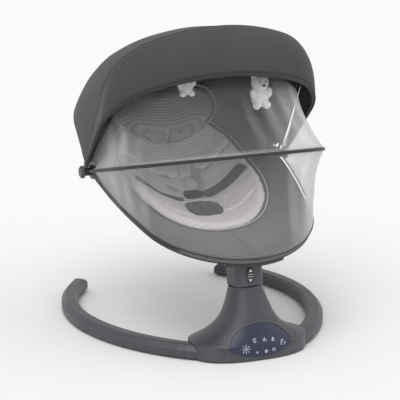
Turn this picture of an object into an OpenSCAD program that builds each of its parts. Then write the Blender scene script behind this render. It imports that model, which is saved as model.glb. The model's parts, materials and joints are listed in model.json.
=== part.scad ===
// Electric baby swing: a C-shaped floor stand with a pedestal at the front, a swivelling
// neck, a tube-framed sling seat with a folding canopy, and a hoop that holds a net.
// Origin: floor level, at the centre of the outline seen from above. The seat's foot end
// faces -Y, its head end faces +Y, and X = 0 is the plane of symmetry.

/* [Stand] */
// Front-to-back length of the floor stand
stand_length = 566; // [550:4:582]
// Width of the curved stand tube
tube_w = 31; // [28:1:34]
// Height of the curved stand tube
tube_h = 25; // [23:1:28]
// Height of the rubber feet
foot_h = 3; // [2:0.5:4]
// Height of the pedestal top above the floor
pedestal_h = 123; // [118:1:130]

/* [Swing drive] */
// Backward lean of the swing axis in degrees
axis_lean = 6; // [4:0.5:8]
// Radius of the steel swing shaft
shaft_r = 8; // [7:0.5:9]
// Radial running clearance of the shaft and pins
run_gap = 0.05; // [0.02:0.01:0.09]

/* [Seat frame] */
// Half the distance between the side tubes at the hubs
seat_half_w = 186; // [180:1:192]
// Radius of the seat frame tube
frame_r = 8; // [7:0.5:9]
// Reach of the foot hoop from the hub axis
foot_reach = 342; // [335:1:350]
// Reach of the head hoop from the hub axis
head_reach = 235; // [225:1:245]
// Slope of the foot hoop in degrees
foot_slope = 18.75; // [17:0.25:20]
// Slope of the head hoop in degrees
head_slope = 29; // [26:1:34]
// Depth of the sling under the frame
sling_depth = 74; // [60:1:90]

/* [Canopy and net] */
// Angle of the front bow above the horizontal
front_angle = 45.5; // [43:0.5:49]
// Angle of the middle bow above the horizontal
mid_angle = 61; // [60:1:66]
// Angle of the net hoop above the horizontal
hoop_angle = 14; // [12:0.5:16]
// Reach of the canopy's front rim from the hub axis
front_reach = 291; // [285:1:297]
// Reach of the canopy's crown at the middle bow
crown_reach = 324; // [318:1:328]
// Reach of the net hoop
hoop_reach = 320; // [314:1:326]
// Thickness of the canopy fabric
fabric_t = 1.6; // [1.2:0.1:2]

/* [Hidden] */
$fn = 64;

plastic_colour = [0.27, 0.27, 0.29];
dark_colour = [0.13, 0.13, 0.14];
steel_colour = [0.72, 0.73, 0.75];
canopy_colour = [0.29, 0.29, 0.30];
sling_colour = [0.40, 0.41, 0.41];
pad_colour = [0.72, 0.70, 0.69];
toy_colour = [0.93, 0.93, 0.92];

// Pedestal centre line, and the point where the swing axis leaves the pedestal
axis_y = -207;
// Hub axis, where the seat hoops, the bows and the net hoop meet
hub_y = 70;
hub_z = 295;

// Three tangent arcs of the stand's centre line: radius and sweep of each
arc_r = [176, 370, 326];
arc_a = [45, 36, 50];
seam_a = 41.5;
cap_sweep = 5.5;
front_y = -stand_length / 2;
arc_c1 = [0, front_y + 8 + tube_w / 2 + arc_r[0]];
arc_c2 = arc_c1 + (arc_r[0] - arc_r[1]) * [sin(arc_a[0]), -cos(arc_a[0])];
arc_h2 = arc_a[0] + arc_a[1];
arc_c3 = arc_c2 + (arc_r[1] - arc_r[2]) * [sin(arc_h2), -cos(arc_h2)];
arc_h3 = arc_h2 + arc_a[2];

// ---------- general shapes ----------

module mirror_x(side) {
    if (side > 0) children();
    else mirror([1, 0, 0]) children();
}

// Rounded rectangle made of true arcs
module round_rect(w, d, r) {
    square([w - 2 * r, d], center = true);
    square([w, d - 2 * r], center = true);
    for (sx = [-1, 1], sy = [-1, 1])
        translate([sx * (w / 2 - r), sy * (d / 2 - r)]) circle(r);
}

// Cylinder along X between two X positions
module x_rod(r, x0, x1) {
    translate([x0, 0, 0]) rotate([0, 90, 0]) cylinder(r = r, h = x1 - x0);
}

// Part of a torus in the XY plane
module arc_tube(c, r, a0, a1, tr) {
    translate([c[0], c[1], 0]) rotate([0, 0, a0])
        rotate_extrude(angle = a1 - a0, $fn = 128) translate([r, 0]) circle(tr, $fn = 32);
}

// Short collar over the butt joint of two arcs; p is the joint and a the radial angle
module joint_collar(p, a, tr) {
    translate([p[0], p[1], 0]) rotate([0, 0, a]) rotate([90, 0, 0])
        cylinder(r = tr + 0.3, h = 5, center = true, $fn = 32);
}

// Closed solid between an upper and a lower grid of points, rows x columns
module grid_solid(top, low) {
    rows = len(top);
    cols = len(top[0]);
    n = rows * cols;
    function at(i, j, k) = k * n + i * cols + j;
    pts = concat([for (r = top) for (p = r) p], [for (r = low) for (p = r) p]);
    skin = [for (i = [0:rows - 2], j = [0:cols - 2]) each [
        [at(i, j, 0), at(i + 1, j, 0), at(i + 1, j + 1, 0)],
        [at(i, j, 0), at(i + 1, j + 1, 0), at(i, j + 1, 0)],
        [at(i, j, 1), at(i + 1, j + 1, 1), at(i + 1, j, 1)],
        [at(i, j, 1), at(i, j + 1, 1), at(i + 1, j + 1, 1)]]];
    sides = [for (j = [0:cols - 2]) each [
        [at(0, j, 0), at(0, j + 1, 0), at(0, j + 1, 1)], [at(0, j, 0), at(0, j + 1, 1), at(0, j, 1)],
        [at(rows - 1, j, 0), at(rows - 1, j + 1, 1), at(rows - 1, j + 1, 0)],
        [at(rows - 1, j, 0), at(rows - 1, j, 1), at(rows - 1, j + 1, 1)]]];
    ends = [for (i = [0:rows - 2]) each [
        [at(i, 0, 0), at(i + 1, 0, 1), at(i + 1, 0, 0)], [at(i, 0, 0), at(i, 0, 1), at(i + 1, 0, 1)],
        [at(i, cols - 1, 0), at(i + 1, cols - 1, 0), at(i + 1, cols - 1, 1)],
        [at(i, cols - 1, 0), at(i + 1, cols - 1, 1), at(i, cols - 1, 1)]]];
    polyhedron(points = pts, faces = concat(skin, sides, ends), convexity = 6);
}

// Closed solid over a disc: rings of points around a centre, upper and lower
module disc_solid(top, low, top_c, low_c) {
    rings = len(top);
    m = len(top[0]);
    n = rings * m;
    function at(i, j, k) = k * n + i * m + (j % m);
    pts = concat([for (r = top) for (p = r) p], [for (r = low) for (p = r) p], [top_c, low_c]);
    skin = [for (i = [0:rings - 2], j = [0:m - 1]) each [
        [at(i, j, 0), at(i + 1, j + 1, 0), at(i + 1, j, 0)],
        [at(i, j, 0), at(i, j + 1, 0), at(i + 1, j + 1, 0)],
        [at(i, j, 1), at(i + 1, j, 1), at(i + 1, j + 1, 1)],
        [at(i, j, 1), at(i + 1, j + 1, 1), at(i, j + 1, 1)]]];
    rim = [for (j = [0:m - 1]) each [
        [at(rings - 1, j, 0), at(rings - 1, j + 1, 0), at(rings - 1, j + 1, 1)],
        [at(rings - 1, j, 0), at(rings - 1, j + 1, 1), at(rings - 1, j, 1)]]];
    hub = [for (j = [0:m - 1]) each [
        [2 * n, at(0, j + 1, 0), at(0, j, 0)], [2 * n + 1, at(0, j, 1), at(0, j + 1, 1)]]];
    polyhedron(points = pts, faces = concat(skin, rim, hub), convexity = 6);
}

// ---------- stand ----------

// Cross-section of the stand tube; +X is the outer side
module tube_section(inset = 0) {
    w = tube_w / 2 - inset;
    h = tube_h - inset;
    translate([0, foot_h])
        polygon([[-w, 3], [-w + 3, inset], [w - 3, inset], [w, 3], [w, h * 0.6],
                 [w - 8, h - 1], [w - 12, h], [-w + 5, h], [-w, h - 5]]);
}

// Tube along an arc of the stand, from heading h0 to heading h1 (right-hand side)
module stand_arc(c, r, h0, h1, inset = 0) {
    translate([c[0], c[1], 0]) rotate([0, 0, h0 - 90])
        rotate_extrude(angle = h1 - h0, $fn = 200) translate([r, 0]) tube_section(inset);
}

// Slight sleeve over the butt joint of two arcs of the stand tube
module stand_collar(c, r, h) {
    translate([c[0] + r * sin(h), c[1] - r * cos(h), 0]) rotate([0, 0, h - 90]) rotate([90, 0, 0])
        linear_extrude(height = 5, center = true) tube_section(-0.25);
}

module arm(side) {
    color(plastic_colour) mirror_x(side) difference() {
        union() {
            stand_collar(arc_c2, arc_r[1], arc_a[0]);
            stand_collar(arc_c2, arc_r[1], arc_h2);
            stand_arc(arc_c1, arc_r[0], seam_a + 0.2, arc_a[0]);
            stand_arc(arc_c2, arc_r[1], arc_a[0], arc_h2);
            stand_arc(arc_c3, arc_r[2], arc_h2, arc_h3 - cap_sweep - 0.1);
        }
        for (f = foot_places()) if (f[2] == 1) translate([f[0], f[1], 0])
            cylinder(r = 5.1, h = foot_h + 2.5);
    }
}

module arm_end_cap(side) {
    a0 = arc_h3 - cap_sweep;
    tip = arc_c3 + arc_r[2] * [sin(arc_h3), -cos(arc_h3)];
    color(plastic_colour) mirror_x(side) difference() {
        stand_arc(arc_c3, arc_r[2], a0, arc_h3);
        translate([tip[0], tip[1], foot_h + tube_h]) rotate([0, 0, arc_h3 - 90])
            rotate([45, 0, 0]) cube([tube_w * 2, 14, 14], center = true);
    }
}

// Half-width, front and back of the pedestal at height z
function rise(z) = max(0, min(1, (pedestal_h - z) / 93));
function ped_half_w(z) = 30 + 31 * rise(z) + 52 * pow(rise(z), 5);
function ped_front(z) = front_y + 47 * (1 - rise(z)) - 2 * sin(180 * rise(z));
function ped_back(z) = axis_y + 28 + 26 * pow(rise(z), 3);
ped_z = [foot_h, 14, 22, 30, 36, 42, 49, 58, 67.5, 79, 91, 102, 112, 121, 132];

// Superellipse section of the pedestal, grown outward by g
function ped_ring(z, g, m = 48) = let (
        a = ped_half_w(z) + g, f = ped_front(z) - g, b = ped_back(z) + g,
        yc = (f + b) / 2, d = (b - f) / 2, e = 0.84)
    [for (j = [0:m - 1]) let (t = j * 360 / m)
        [a * sign(cos(t)) * pow(abs(cos(t)), e), yc + d * sign(sin(t)) * pow(abs(sin(t)), e), z]];

module ped_body(g = 0, z_low = foot_h, z_high = 132) {
    zs = concat([z_low], [for (z = ped_z) if (z > z_low + 1 && z < z_high - 1) z], [z_high]);
    rings = [for (z = zs) ped_ring(z, g)];
    m = len(rings[0]);
    pts = [for (r = rings) for (p = r) p];
    last = len(zs) - 1;
    polyhedron(points = pts, faces = concat(
        [[for (j = [0:m - 1]) j]],
        [[for (j = [m - 1:-1:0]) last * m + j]],
        [for (i = [0:last - 1], j = [0:m - 1]) each [
            [i * m + j, (i + 1) * m + (j + 1) % m, i * m + (j + 1) % m],
            [i * m + j, (i + 1) * m + j, (i + 1) * m + (j + 1) % m]]]), convexity = 6);
}

// Frame of the swing axis: origin at the pedestal's top, +Z along the leaning axis
module swing_frame() {
    translate([0, axis_y, pedestal_h]) rotate([-axis_lean, 0, 0]) children();
}

panel_top = 66;
panel_low = 8;
panel_top_r = 70;
panel_low_r = 130;

// Lens-shaped outline of the control panel, projected along Y
module panel_prism(grow = 0) {
    translate([0, front_y - 20, 0]) rotate([-90, 0, 0]) linear_extrude(height = 60)
        intersection() {
            translate([0, panel_top_r - panel_top]) circle(r = panel_top_r + grow, $fn = 96);
            translate([0, -panel_low_r - panel_low]) circle(r = panel_low_r + grow, $fn = 128);
        }
}

module pedestal_shell() {
    color(plastic_colour) difference() {
        union() {
            ped_body(0);
            stand_arc(arc_c1, arc_r[0], -seam_a, seam_a);
            intersection() {
                difference() {
                    panel_prism(6);
                    panel_prism(2.5);
                    translate([-100, front_y - 30, 0]) cube([200, 100, foot_h + 30]);
                }
                difference() {
                    ped_body(1.4);
                    ped_body(-1);
                }
            }
        }
        // hollow inside, open below
        intersection() {
            ped_body(-2.6, -1, 118);
            translate([-84, -400, -1]) cube([168, 400, 140]);
        }
        translate([0, 0, -0.2]) stand_arc(arc_c1, arc_r[0], -seam_a + 1.5, seam_a - 1.5, 2.6);
        stand_arc_slot();
        plate_blank(0.3, 1);
        for (side = [-1, 1]) mirror_x(side)
            stand_arc(arc_c1, arc_r[0], seam_a + 0.06, seam_a + 9, -0.3);
        // flat top square to the swing axis, and the shaft's clearance hole
        swing_frame() {
            translate([-100, -100, 0]) cube([200, 200, 60]);
            translate([0, 0, -20]) cylinder(r = shaft_r + 3, h = 30);
            translate([0, 0, -30]) cylinder(r = 22.3, h = 25.2);
        }
        // recess for the control panel, and the hole for the power inlet
        difference() {
            panel_prism(0.2);
            ped_body(-1.6);
        }
        translate([0, -138, 16]) rotate([90, 0, 0]) cylinder(r = 5.6, h = 40);
        translate([0, ped_back(16) - 1.1, 16]) rotate([-90, 0, 0]) cylinder(r = 7.8, h = 9);
    }
}

// Opens the underside of the pedestal's tube section
module stand_arc_slot() {
    translate([arc_c1[0], arc_c1[1], 0]) rotate([0, 0, -seam_a + 1.5 - 90])
        rotate_extrude(angle = 2 * seam_a - 3, $fn = 200)
            translate([arc_r[0] - tube_w / 2 + 5.6, foot_h - 1]) square([tube_w - 11.2, 5]);
}

// Outline of the base plate, grown by g and lowered by drop
module plate_blank(g, drop) {
    z0 = foot_h - drop;
    t = 2.4 + g + drop;
    difference() {
        union() {
            ped_body(-3.2 + g, z0, z0 + t);
            translate([arc_c1[0], arc_c1[1], z0]) rotate([0, 0, -seam_a + 2 - 90])
                rotate_extrude(angle = 2 * seam_a - 4, $fn = 200)
                    translate([arc_r[0] - tube_w / 2 + 6 - g, 0]) square([tube_w - 12 + 2 * g, t]);
        }
        for (side = [-1, 1]) mirror_x(side)
            stand_arc(arc_c1, arc_r[0], seam_a - 0.4, seam_a + 9, -1);
    }
}

module base_plate() {
    color(dark_colour) difference() {
        plate_blank(0, 0);
        for (p = screw_places()) translate([p[0], p[1], 0]) cylinder(r = 2.1, h = 20);
        for (sx = [-1, 1], f = foot_places()) if (f[2] == 0) translate([sx * f[0], f[1], 0])
            cylinder(r = 5.1, h = foot_h + 2.5);
    }
}

// Screws that hold the base plate and the arms
function screw_places() = [[-70, -236], [70, -236], [-46, -178], [46, -178]];

module base_screws() {
    color(steel_colour) for (p = screw_places()) translate([p[0], p[1], foot_h - 0.8]) {
        cylinder(r = 3.6, h = 0.75);
        cylinder(r = 1.6, h = 9);
    }
}

// Feet: x, y, and 1 where the foot is pressed into an arm
function foot_places() = [
    let (p = arc_c2 + arc_r[1] * [sin(64), -cos(64)]) [p[0], p[1], 1],
    let (p = arc_c3 + arc_r[2] * [sin(112), -cos(112)]) [p[0], p[1], 1],
    [52, arc_c1[1] - sqrt(arc_r[0] * arc_r[0] - 52 * 52), 0]];

module rubber_feet() {
    color(dark_colour) for (sx = [-1, 1], f = foot_places()) translate([sx * f[0], f[1], 0]) {
        cylinder(r1 = 8, r2 = 9, h = foot_h - 0.2);
        cylinder(r = 5, h = foot_h + 2);
    }
}

module control_panel() {
    color([0.10, 0.12, 0.20]) intersection() {
        panel_prism(0);
        difference() {
            ped_body(0.5);
            ped_body(-1.4);
        }
        translate([-100, front_y - 20, 0]) cube([200, 60, 90]);
    }
}

// Circuit board behind the panel, with its push switches
module circuit_board() {
    color([0.10, 0.35, 0.20]) translate([0, front_y + 19, 37]) rotate([-17, 0, 0]) {
        cube([80, 1.6, 30], center = true);
        for (i = [-2:2]) translate([i * 18, -2.6, -4]) cube([6, 3.4, 6], center = true);
    }
}

module speaker() {
    color(dark_colour) translate([52, -196, foot_h + 2.8]) difference() {
        union() {
            cylinder(r = 15, h = 4);
            cylinder(r = 10, h = 12);
        }
        translate([0, 0, -1]) cylinder(r1 = 12, r2 = 5, h = 7);
    }
}

module power_inlet() {
    color(dark_colour) translate([0, ped_back(16) - 0.6, 16]) rotate([90, 0, 0]) difference() {
        union() {
            cylinder(r = 5.4, h = 13);
            translate([0, 0, -1.2]) cylinder(r = 7.5, h = 1.4);
        }
        translate([0, 0, -2]) difference() {
            cylinder(r = 3.2, h = 12);
            cylinder(r = 1, h = 12);
        }
    }
}

// ---------- swing drive ----------

bearing_low = -62;
magnet_at = 28;

// Inner casting that is screwed under the pedestal's top and holds both bushes
module bearing_carrier() {
    color([0.5, 0.5, 0.52]) swing_frame() difference() {
        union() {
            translate([0, 0, bearing_low]) cylinder(r = 17, h = -bearing_low - 5);
            translate([0, 0, -9]) cylinder(r = 22, h = 4);
        }
        translate([0, 0, bearing_low - 1]) cylinder(r = 12, h = -bearing_low);
        for (a = [45:90:315]) rotate([0, 0, a]) translate([19.3, 0, -20]) cylinder(r = 1.3, h = 30);
    }
}

module bush(z) {
    color([0.85, 0.83, 0.78]) swing_frame() translate([0, 0, z]) difference() {
        cylinder(r = 11.98, h = 12);
        translate([0, 0, -1]) cylinder(r = shaft_r + run_gap, h = 14);
    }
}

module upper_bearing() { bush(-17.5); }
module lower_bearing() { bush(bearing_low); }

module swing_shaft() {
    color(steel_colour) swing_frame() difference() {
        translate([0, 0, bearing_low - 16]) cylinder(r = shaft_r, h = 16 - bearing_low + 12);
        translate([0, 0, bearing_low - 3.4]) difference() {
            cylinder(r = shaft_r + 2, h = 1.6);
            cylinder(r = shaft_r - 1, h = 1.6);
        }
    }
}

module retaining_ring() {
    color(steel_colour) swing_frame() translate([0, 0, bearing_low - 3.2]) difference() {
        cylinder(r = shaft_r + 3, h = 1.2);
        translate([0, 0, -1]) cylinder(r = shaft_r - 0.95, h = 4);
        translate([0, -12, 0]) cube([5, 14, 6], center = true);
    }
}

// Arm at the shaft's lower end that carries the magnet past the coil
module magnet_arm() {
    color([0.5, 0.5, 0.52]) swing_frame() translate([0, 0, bearing_low - 14]) difference() {
        union() {
            cylinder(r = 13, h = 8);
            translate([-7, -magnet_at, 0]) cube([14, magnet_at, 4]);
            translate([0, -magnet_at, 0]) cylinder(r = 8, h = 4);
        }
        translate([0, 0, -1]) cylinder(r = shaft_r + 0.02, h = 12);
    }
}

module drive_magnet() {
    color(steel_colour) swing_frame() translate([0, -magnet_at, bearing_low - 9.95])
        cylinder(r = 7, h = 4);
}

module drive_coil() {
    color([0.70, 0.38, 0.20]) swing_frame() translate([0, -magnet_at, bearing_low - 4.5]) difference() {
        cylinder(r = 10, h = 7);
        translate([0, 0, -1]) cylinder(r = 3.5, h = 9);
    }
}

// ---------- neck ----------

neck_w = 55;
neck_d = 52;
neck_h = 38;
pivot_y = -216;
pivot_z = 152.5;
button_z = 147;
lug_x = 15;
cheek_x = 22.4;

module neck_block(g, h0, h1) {
    swing_frame() translate([0, 0, h0]) linear_extrude(height = h1 - h0)
        round_rect(neck_w + 2 * g, neck_d + 2 * g, 10 + g);
}

// Space that the seat bracket's lugs need inside the neck
module lug_space() {
    for (sx = [-1, 1]) translate([sx * lug_x, pivot_y, pivot_z]) {
        rotate([0, 90, 0]) cylinder(r = 9.5, h = 11.4, center = true);
        translate([0, 3, 12]) cube([11.4, 18, 24], center = true);
    }
}

module neck_shell(front) {
    color(plastic_colour) difference() {
        neck_block(0, 1.5, neck_h);
        neck_block(-2.6, 4, neck_h - 2.4);
        swing_frame() translate([-100, front > 0 ? -0.1 : -99.9, -5]) cube([200, 100, 80]);
        swing_frame() translate([0, 0, -1]) cylinder(r = 13.2, h = 10);
        lug_space();
        if (front > 0) translate([0, axis_y - 50, button_z]) rotate([-90, 0, 0])
            linear_extrude(height = 36) pill(7.25, 14.75);
    }
}

// Upright pill outline: half width and half height
module pill(w, h) {
    square([2 * w, 2 * (h - w)], center = true);
    for (s = [-1, 1]) translate([0, s * (h - w)]) circle(w);
}

module neck_front_shell() { neck_shell(1); }
module neck_rear_shell() { neck_shell(-1); }

// Metal yoke on the shaft: a foot plate and two cheeks that hold the recline pin
module neck_yoke() {
    color([0.5, 0.5, 0.52]) difference() {
        union() {
            swing_frame() translate([0, 0, 4.5]) cylinder(r = 13, h = 7);
            swing_frame() translate([-23, -17, 5.5]) cube([46, 34, 3]);
            for (sx = [-1, 1]) translate([sx * cheek_x, 0, 0]) rotate([0, 90, 0])
                linear_extrude(height = 2.2, center = true) {
                    translate([-pivot_z, pivot_y]) circle(6);
                    polygon([[-131, -222], [-130, -192], [-pivot_z, pivot_y + 6], [-pivot_z, pivot_y - 6]]);
                }
        }
        swing_frame() cylinder(r = shaft_r + 0.02, h = 40);
        translate([0, pivot_y, pivot_z]) x_rod(4, -40, 40);
    }
}

module recline_pin() {
    color(steel_colour) translate([0, pivot_y, pivot_z]) x_rod(3.98, -24.6, 24.6);
}

// Rocker-shaped release button that slides into the neck
module recline_button() {
    color(dark_colour) translate([0, axis_y - neck_d / 2 + 1, button_z]) rotate([-90, 0, 0])
        linear_extrude(height = 6) pill(7, 14.5);
}

// ---------- seat frame ----------

// Plane through the hub axis; +Y points at angle phi above the horizontal towards the foot
module hub_plane(phi) {
    translate([0, hub_y, hub_z]) rotate([180 - phi, 0, 0]) children();
}

// Side radius that meets a crown arc of radius r1 tangentially
function side_r(w, reach, r1) =
    (w * w + reach * reach - 2 * reach * r1) / (2 * (w - r1));

// U-shaped frame hoop: a crown arc and two side arcs that start at the hub axis
module frame_hoop(w, reach, r1, tr, start = 5) {
    r2 = side_r(w, reach, r1);
    join_a = atan2(reach - r1, r2 - w);
    start_a = asin(start / r2);
    arc_tube([0, reach - r1], r1, join_a, 180 - join_a, tr);
    for (side = [-1, 1]) mirror_x(side) {
        arc_tube([w - r2, 0], r2, start_a, join_a, tr);
        joint_collar([r1 * cos(join_a), reach - r1 + r1 * sin(join_a)], join_a, tr);
    }
}

foot_crown = 165;
head_crown = 176;

module foot_tube() {
    color(dark_colour) hub_plane(-foot_slope)
        frame_hoop(seat_half_w, foot_reach, foot_crown, frame_r);
}

module head_tube() {
    color(dark_colour) hub_plane(180 - head_slope)
        frame_hoop(seat_half_w, head_reach, head_crown, frame_r);
}

// Saddle under the foot hoop, with two lugs on the recline pin
module seat_bracket() {
    sweep = 20;
    color(dark_colour) difference() {
        union() {
            hub_plane(-foot_slope) translate([0, foot_reach - foot_crown, 0])
                rotate([0, 0, 90 - sweep]) rotate_extrude(angle = 2 * sweep, $fn = 160)
                    translate([foot_crown - 13, 4]) square([20, 9]);
            translate([-25, -250, 169.5]) cube([50, 58, 12]);
            for (sx = [-1, 1]) translate([sx * lug_x, pivot_y, pivot_z]) {
                rotate([0, 90, 0]) cylinder(r = 8, h = 10, center = true);
                translate([0, 2, 7]) cube([10, 11, 14], center = true);
            }
        }
        hub_plane(-foot_slope) frame_hoop(seat_half_w, foot_reach, foot_crown, frame_r + 0.02);
        translate([0, pivot_y, pivot_z]) x_rod(4.04, -40, 40);
    }
}

hub_w0 = seat_half_w - 10;
hub_w1 = seat_half_w + 9;

module hub_bracket(side) {
    color(plastic_colour) mirror_x(side) difference() {
        translate([0, hub_y, hub_z]) x_rod(15, hub_w0, hub_w1);
        hub_plane(-foot_slope) frame_hoop(seat_half_w, foot_reach, foot_crown, frame_r + 0.02, 4.9);
        hub_plane(180 - head_slope) frame_hoop(seat_half_w, head_reach, head_crown, frame_r + 0.02, 4.9);
        translate([0, hub_y, hub_z]) x_rod(3.99, hub_w1 - 4, hub_w1 + 2);
    }
}

module hub_pin(side) {
    color(steel_colour) mirror_x(side) translate([0, hub_y, hub_z]) {
        x_rod(3.97, hub_w1 - 3.9, hub_w1 + 20.4);
    }
}

module hub_cap(side) {
    color(plastic_colour) mirror_x(side) translate([0, hub_y, hub_z]) difference() {
        union() {
            x_rod(12, hub_w1 + 16.3, hub_w1 + 20.4);
            translate([hub_w1 + 20.4, 0, 0]) rotate([0, 90, 0]) cylinder(r1 = 12, r2 = 9, h = 2.5);
        }
        x_rod(3.98, hub_w1 + 15, hub_w1 + 20.6);
    }
}

// ---------- bows ----------

// X offset of each bow's eyelet along the hub pin, and the legs' half width there
mid_leg = hub_w1 + 2.8;
hoop_leg = hub_w1 + 8;
front_leg = hub_w1 + 13.2;
bow_r = 2.4;

// Centre of the corner arc of a bow with a crown of radius rk
function corner_s(w, reach, rc, rk) =
    reach - rk + sqrt((rk - rc) * (rk - rc) - (w - rc) * (w - rc));
// Heading of the leg from the hub, tangent to the corner arc
function leg_head(w, reach, rc, rk, leg) = let (
        c = [w - rc - leg, corner_s(w, reach, rc, rk)])
    atan2(c[1], c[0]) - asin(rc / norm(c));
function leg_len(w, reach, rc, rk, leg) = let (
        c = [w - rc - leg, corner_s(w, reach, rc, rk)]) sqrt(c * c - rc * rc);

// Bow: crown arc, two corner arcs, two straight legs and an eyelet on each hub pin
module bow(w, reach, rc, rk, leg, tr) {
    s = corner_s(w, reach, rc, rk);
    top_a = atan2(s - reach + rk, w - rc);
    head = leg_head(w, reach, rc, rk, leg);
    arc_tube([0, reach - rk], rk, top_a, 180 - top_a, tr);
    for (side = [-1, 1]) mirror_x(side) {
        arc_tube([w - rc, s], rc, head - 90, top_a, tr);
        joint_collar([w - rc + rc * cos(top_a), s + rc * sin(top_a)], top_a, tr);
        joint_collar([w - rc + rc * sin(head), s - rc * cos(head)], head - 90, tr);
        difference() {
            union() {
                translate([leg, 0, 0]) rotate([0, 0, head]) rotate([0, 90, 0])
                    cylinder(r = tr, h = leg_len(w, reach, rc, rk, leg));
                x_rod(8, leg - 1.7, leg + 1.7);
            }
            x_rod(4.05, leg - 6, leg + 6);
        }
    }
}

front_w = 219;
visor_step = 9;
visor_bulge = 6;
mid_w = 203;
hoop_w = 205;

module mid_bow() {
    color(dark_colour) hub_plane(mid_angle)
        bow(mid_w - 7, crown_reach - 7, 112, 340, mid_leg, bow_r);
}

module front_bow() {
    color(dark_colour) hub_plane(front_angle)
        bow(front_w - 5, front_reach - 5, 116, 345, front_leg, bow_r);
}

module net_hoop() {
    color(dark_colour) hub_plane(hoop_angle)
        bow(hoop_w, hoop_reach, 150, 260, hoop_leg, bow_r);
}

// ---------- fabric surfaces ----------

// Outline of a bow as points [x, s] from the right leg over the crown to the left leg,
// leaving out the first gap of each leg
function bow_half(w, reach, rc, rk, leg, gap) = let (
        s = corner_s(w, reach, rc, rk), top_a = atan2(s - reach + rk, w - rc),
        head = leg_head(w, reach, rc, rk, leg), ll = leg_len(w, reach, rc, rk, leg))
    concat(
        [for (k = [0:3]) let (t = gap + (ll - gap) * k / 4) [leg + t * cos(head), t * sin(head)]],
        [for (k = [0:6]) let (a = head - 90 + (top_a - head + 90) * k / 7)
            [w - rc + rc * cos(a), s + rc * sin(a)]],
        [for (k = [0:5]) let (a = top_a + (90 - top_a) * k / 6) [rk * cos(a), reach - rk + rk * sin(a)]]);
function bow_path(w, reach, rc, rk, leg, gap) = let (
        h = bow_half(w, reach, rc, rk, leg, gap), n = len(h))
    concat(h, [[0, reach]], [for (k = [n - 1:-1:0]) [-h[k][0], h[k][1]]]);
// Point of a hub plane at angle phi in the part's frame
function hub_point(p, phi) = [p[0], hub_y - p[1] * cos(phi), hub_z + p[1] * sin(phi)];

// The rear panel's profile at X = 0 is an arc; this is its distance from the hub axis
dome_c = [-148, -172];
dome_r = 455;
function dome_reach(phi) = let (d = dome_c * [-cos(phi), sin(phi)])
    d + sqrt(d * d - dome_c * dome_c + dome_r * dome_r);
function rear_w(phi) = mid_w - 9 * (phi - mid_angle) / (150 - mid_angle);

// Reach and width of the front panel between the front bow and the middle bow
function visor_u(phi) = (phi - front_angle) / (mid_angle - front_angle);
function visor_reach(phi) = front_reach + (crown_reach + visor_step - front_reach) * sin(90 * visor_u(phi))
    + visor_bulge * sin(180 * visor_u(phi));
function visor_w(phi) = front_w + (mid_w + 3 - front_w) * visor_u(phi);

function rear_row(phi, inset) = [for (p = bow_path(rear_w(phi) - inset,
        dome_reach(phi) - inset, 100, 330, hub_w1 + 7.6 - inset, 20)) hub_point(p, phi)];
function visor_row(phi, inset) = [for (p = bow_path(visor_w(phi) - inset,
        visor_reach(phi) - inset, 116, 345, front_leg + 5.4 - inset, 20)) hub_point(p, phi)];

module rear_canopy() {
    phis = [for (k = [10:-1:0]) mid_angle + 1.5 + (148 - mid_angle - 1.5) * k / 10];
    color(canopy_colour) grid_solid([for (phi = phis) rear_row(phi, 0)],
        [for (phi = phis) rear_row(phi, fabric_t)]);
}

module front_canopy() {
    phis = [for (k = [4:-1:0]) front_angle + (mid_angle - front_angle) * k / 4];
    color(canopy_colour) grid_solid([for (phi = phis) visor_row(phi, 0)],
        [for (phi = phis) visor_row(phi, fabric_t)]);
}

// Net panels: ruled sheets between two bow outlines, drawn in towards the middle
function net_row(a, b, t, pull) = [for (k = [0:len(a) - 1])
    let (p = a[k] * (1 - t) + b[k] * t, c = [0, hub_y - 60, p[2]],
         d = (c - p) / max(1, norm(c - p))) p + d * pull * 4 * t * (1 - t)];
function inward(row, t) = [for (p = row) let (c = [0, hub_y - 60, p[2]]) p + t * (c - p) / norm(c - p)];

function hoop_line(inset) = [for (p = bow_path(hoop_w - inset, hoop_reach - inset,
    150, 260, hoop_leg, 24)) hub_point(p, hoop_angle)];
function front_line(inset) = [for (p = bow_path(front_w - inset, front_reach - inset,
    116, 345, front_leg, 24)) hub_point(p, front_angle + 4)];

module upper_net() {
    a = front_line(30);
    b = [for (p = hoop_line(0)) p + [0, 0, 3.4]];
    rows = [for (k = [0:4]) net_row(a, b, k / 4, 22)];
    color([0.9, 0.9, 0.9, 0.4]) grid_solid(rows, [for (r = rows) inward(r, 0.8)]);
}

// Foot outline of the seat on the same spacing as the net's upper edge
function skirt_foot(p) = let (phi = -foot_slope, s = norm([p[1] - hub_y, p[2] - hub_z]),
        a = atan2(p[0], s), q = oval_r(a, -1) + frame_r + 3)
    hub_point([q * sin(a), q * cos(a)], phi) + [0, 0, 6];

module lower_net() {
    a = [for (p = hoop_line(0)) p - [0, 0, 3.4]];
    b = [for (p = a) skirt_foot(p)];
    rows = [for (k = [4:-1:0]) net_row(a, b, k / 4, 5)];
    color([0.9, 0.9, 0.9, 0.4]) grid_solid(rows, [for (r = rows) inward(r, -0.8)]);
}

// ---------- sling, pad and harness ----------

// Distance from the hub centre to the frame hoop's centre line at angle a from its apex
// direction; side is -1 for the foot hoop and 1 for the head hoop
function oval_r(a, side) = let (
        reach = side < 0 ? foot_reach : head_reach, r1 = side < 0 ? foot_crown : head_crown,
        r2 = side_r(seat_half_w, reach, r1), c1 = reach - r1, c2 = r2 - seat_half_w,
        t = abs(a), crown = c1 * cos(t) + sqrt(max(0, r1 * r1 - pow(c1 * sin(t), 2))),
        flank = -c2 * sin(t) + sqrt(r2 * r2 - pow(c2 * cos(t), 2)),
        join_t = atan2(r1 * cos(atan2(c1, c2)), c1 + r1 * sin(atan2(c1, c2))))
    t < join_t ? crown : flank;

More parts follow.
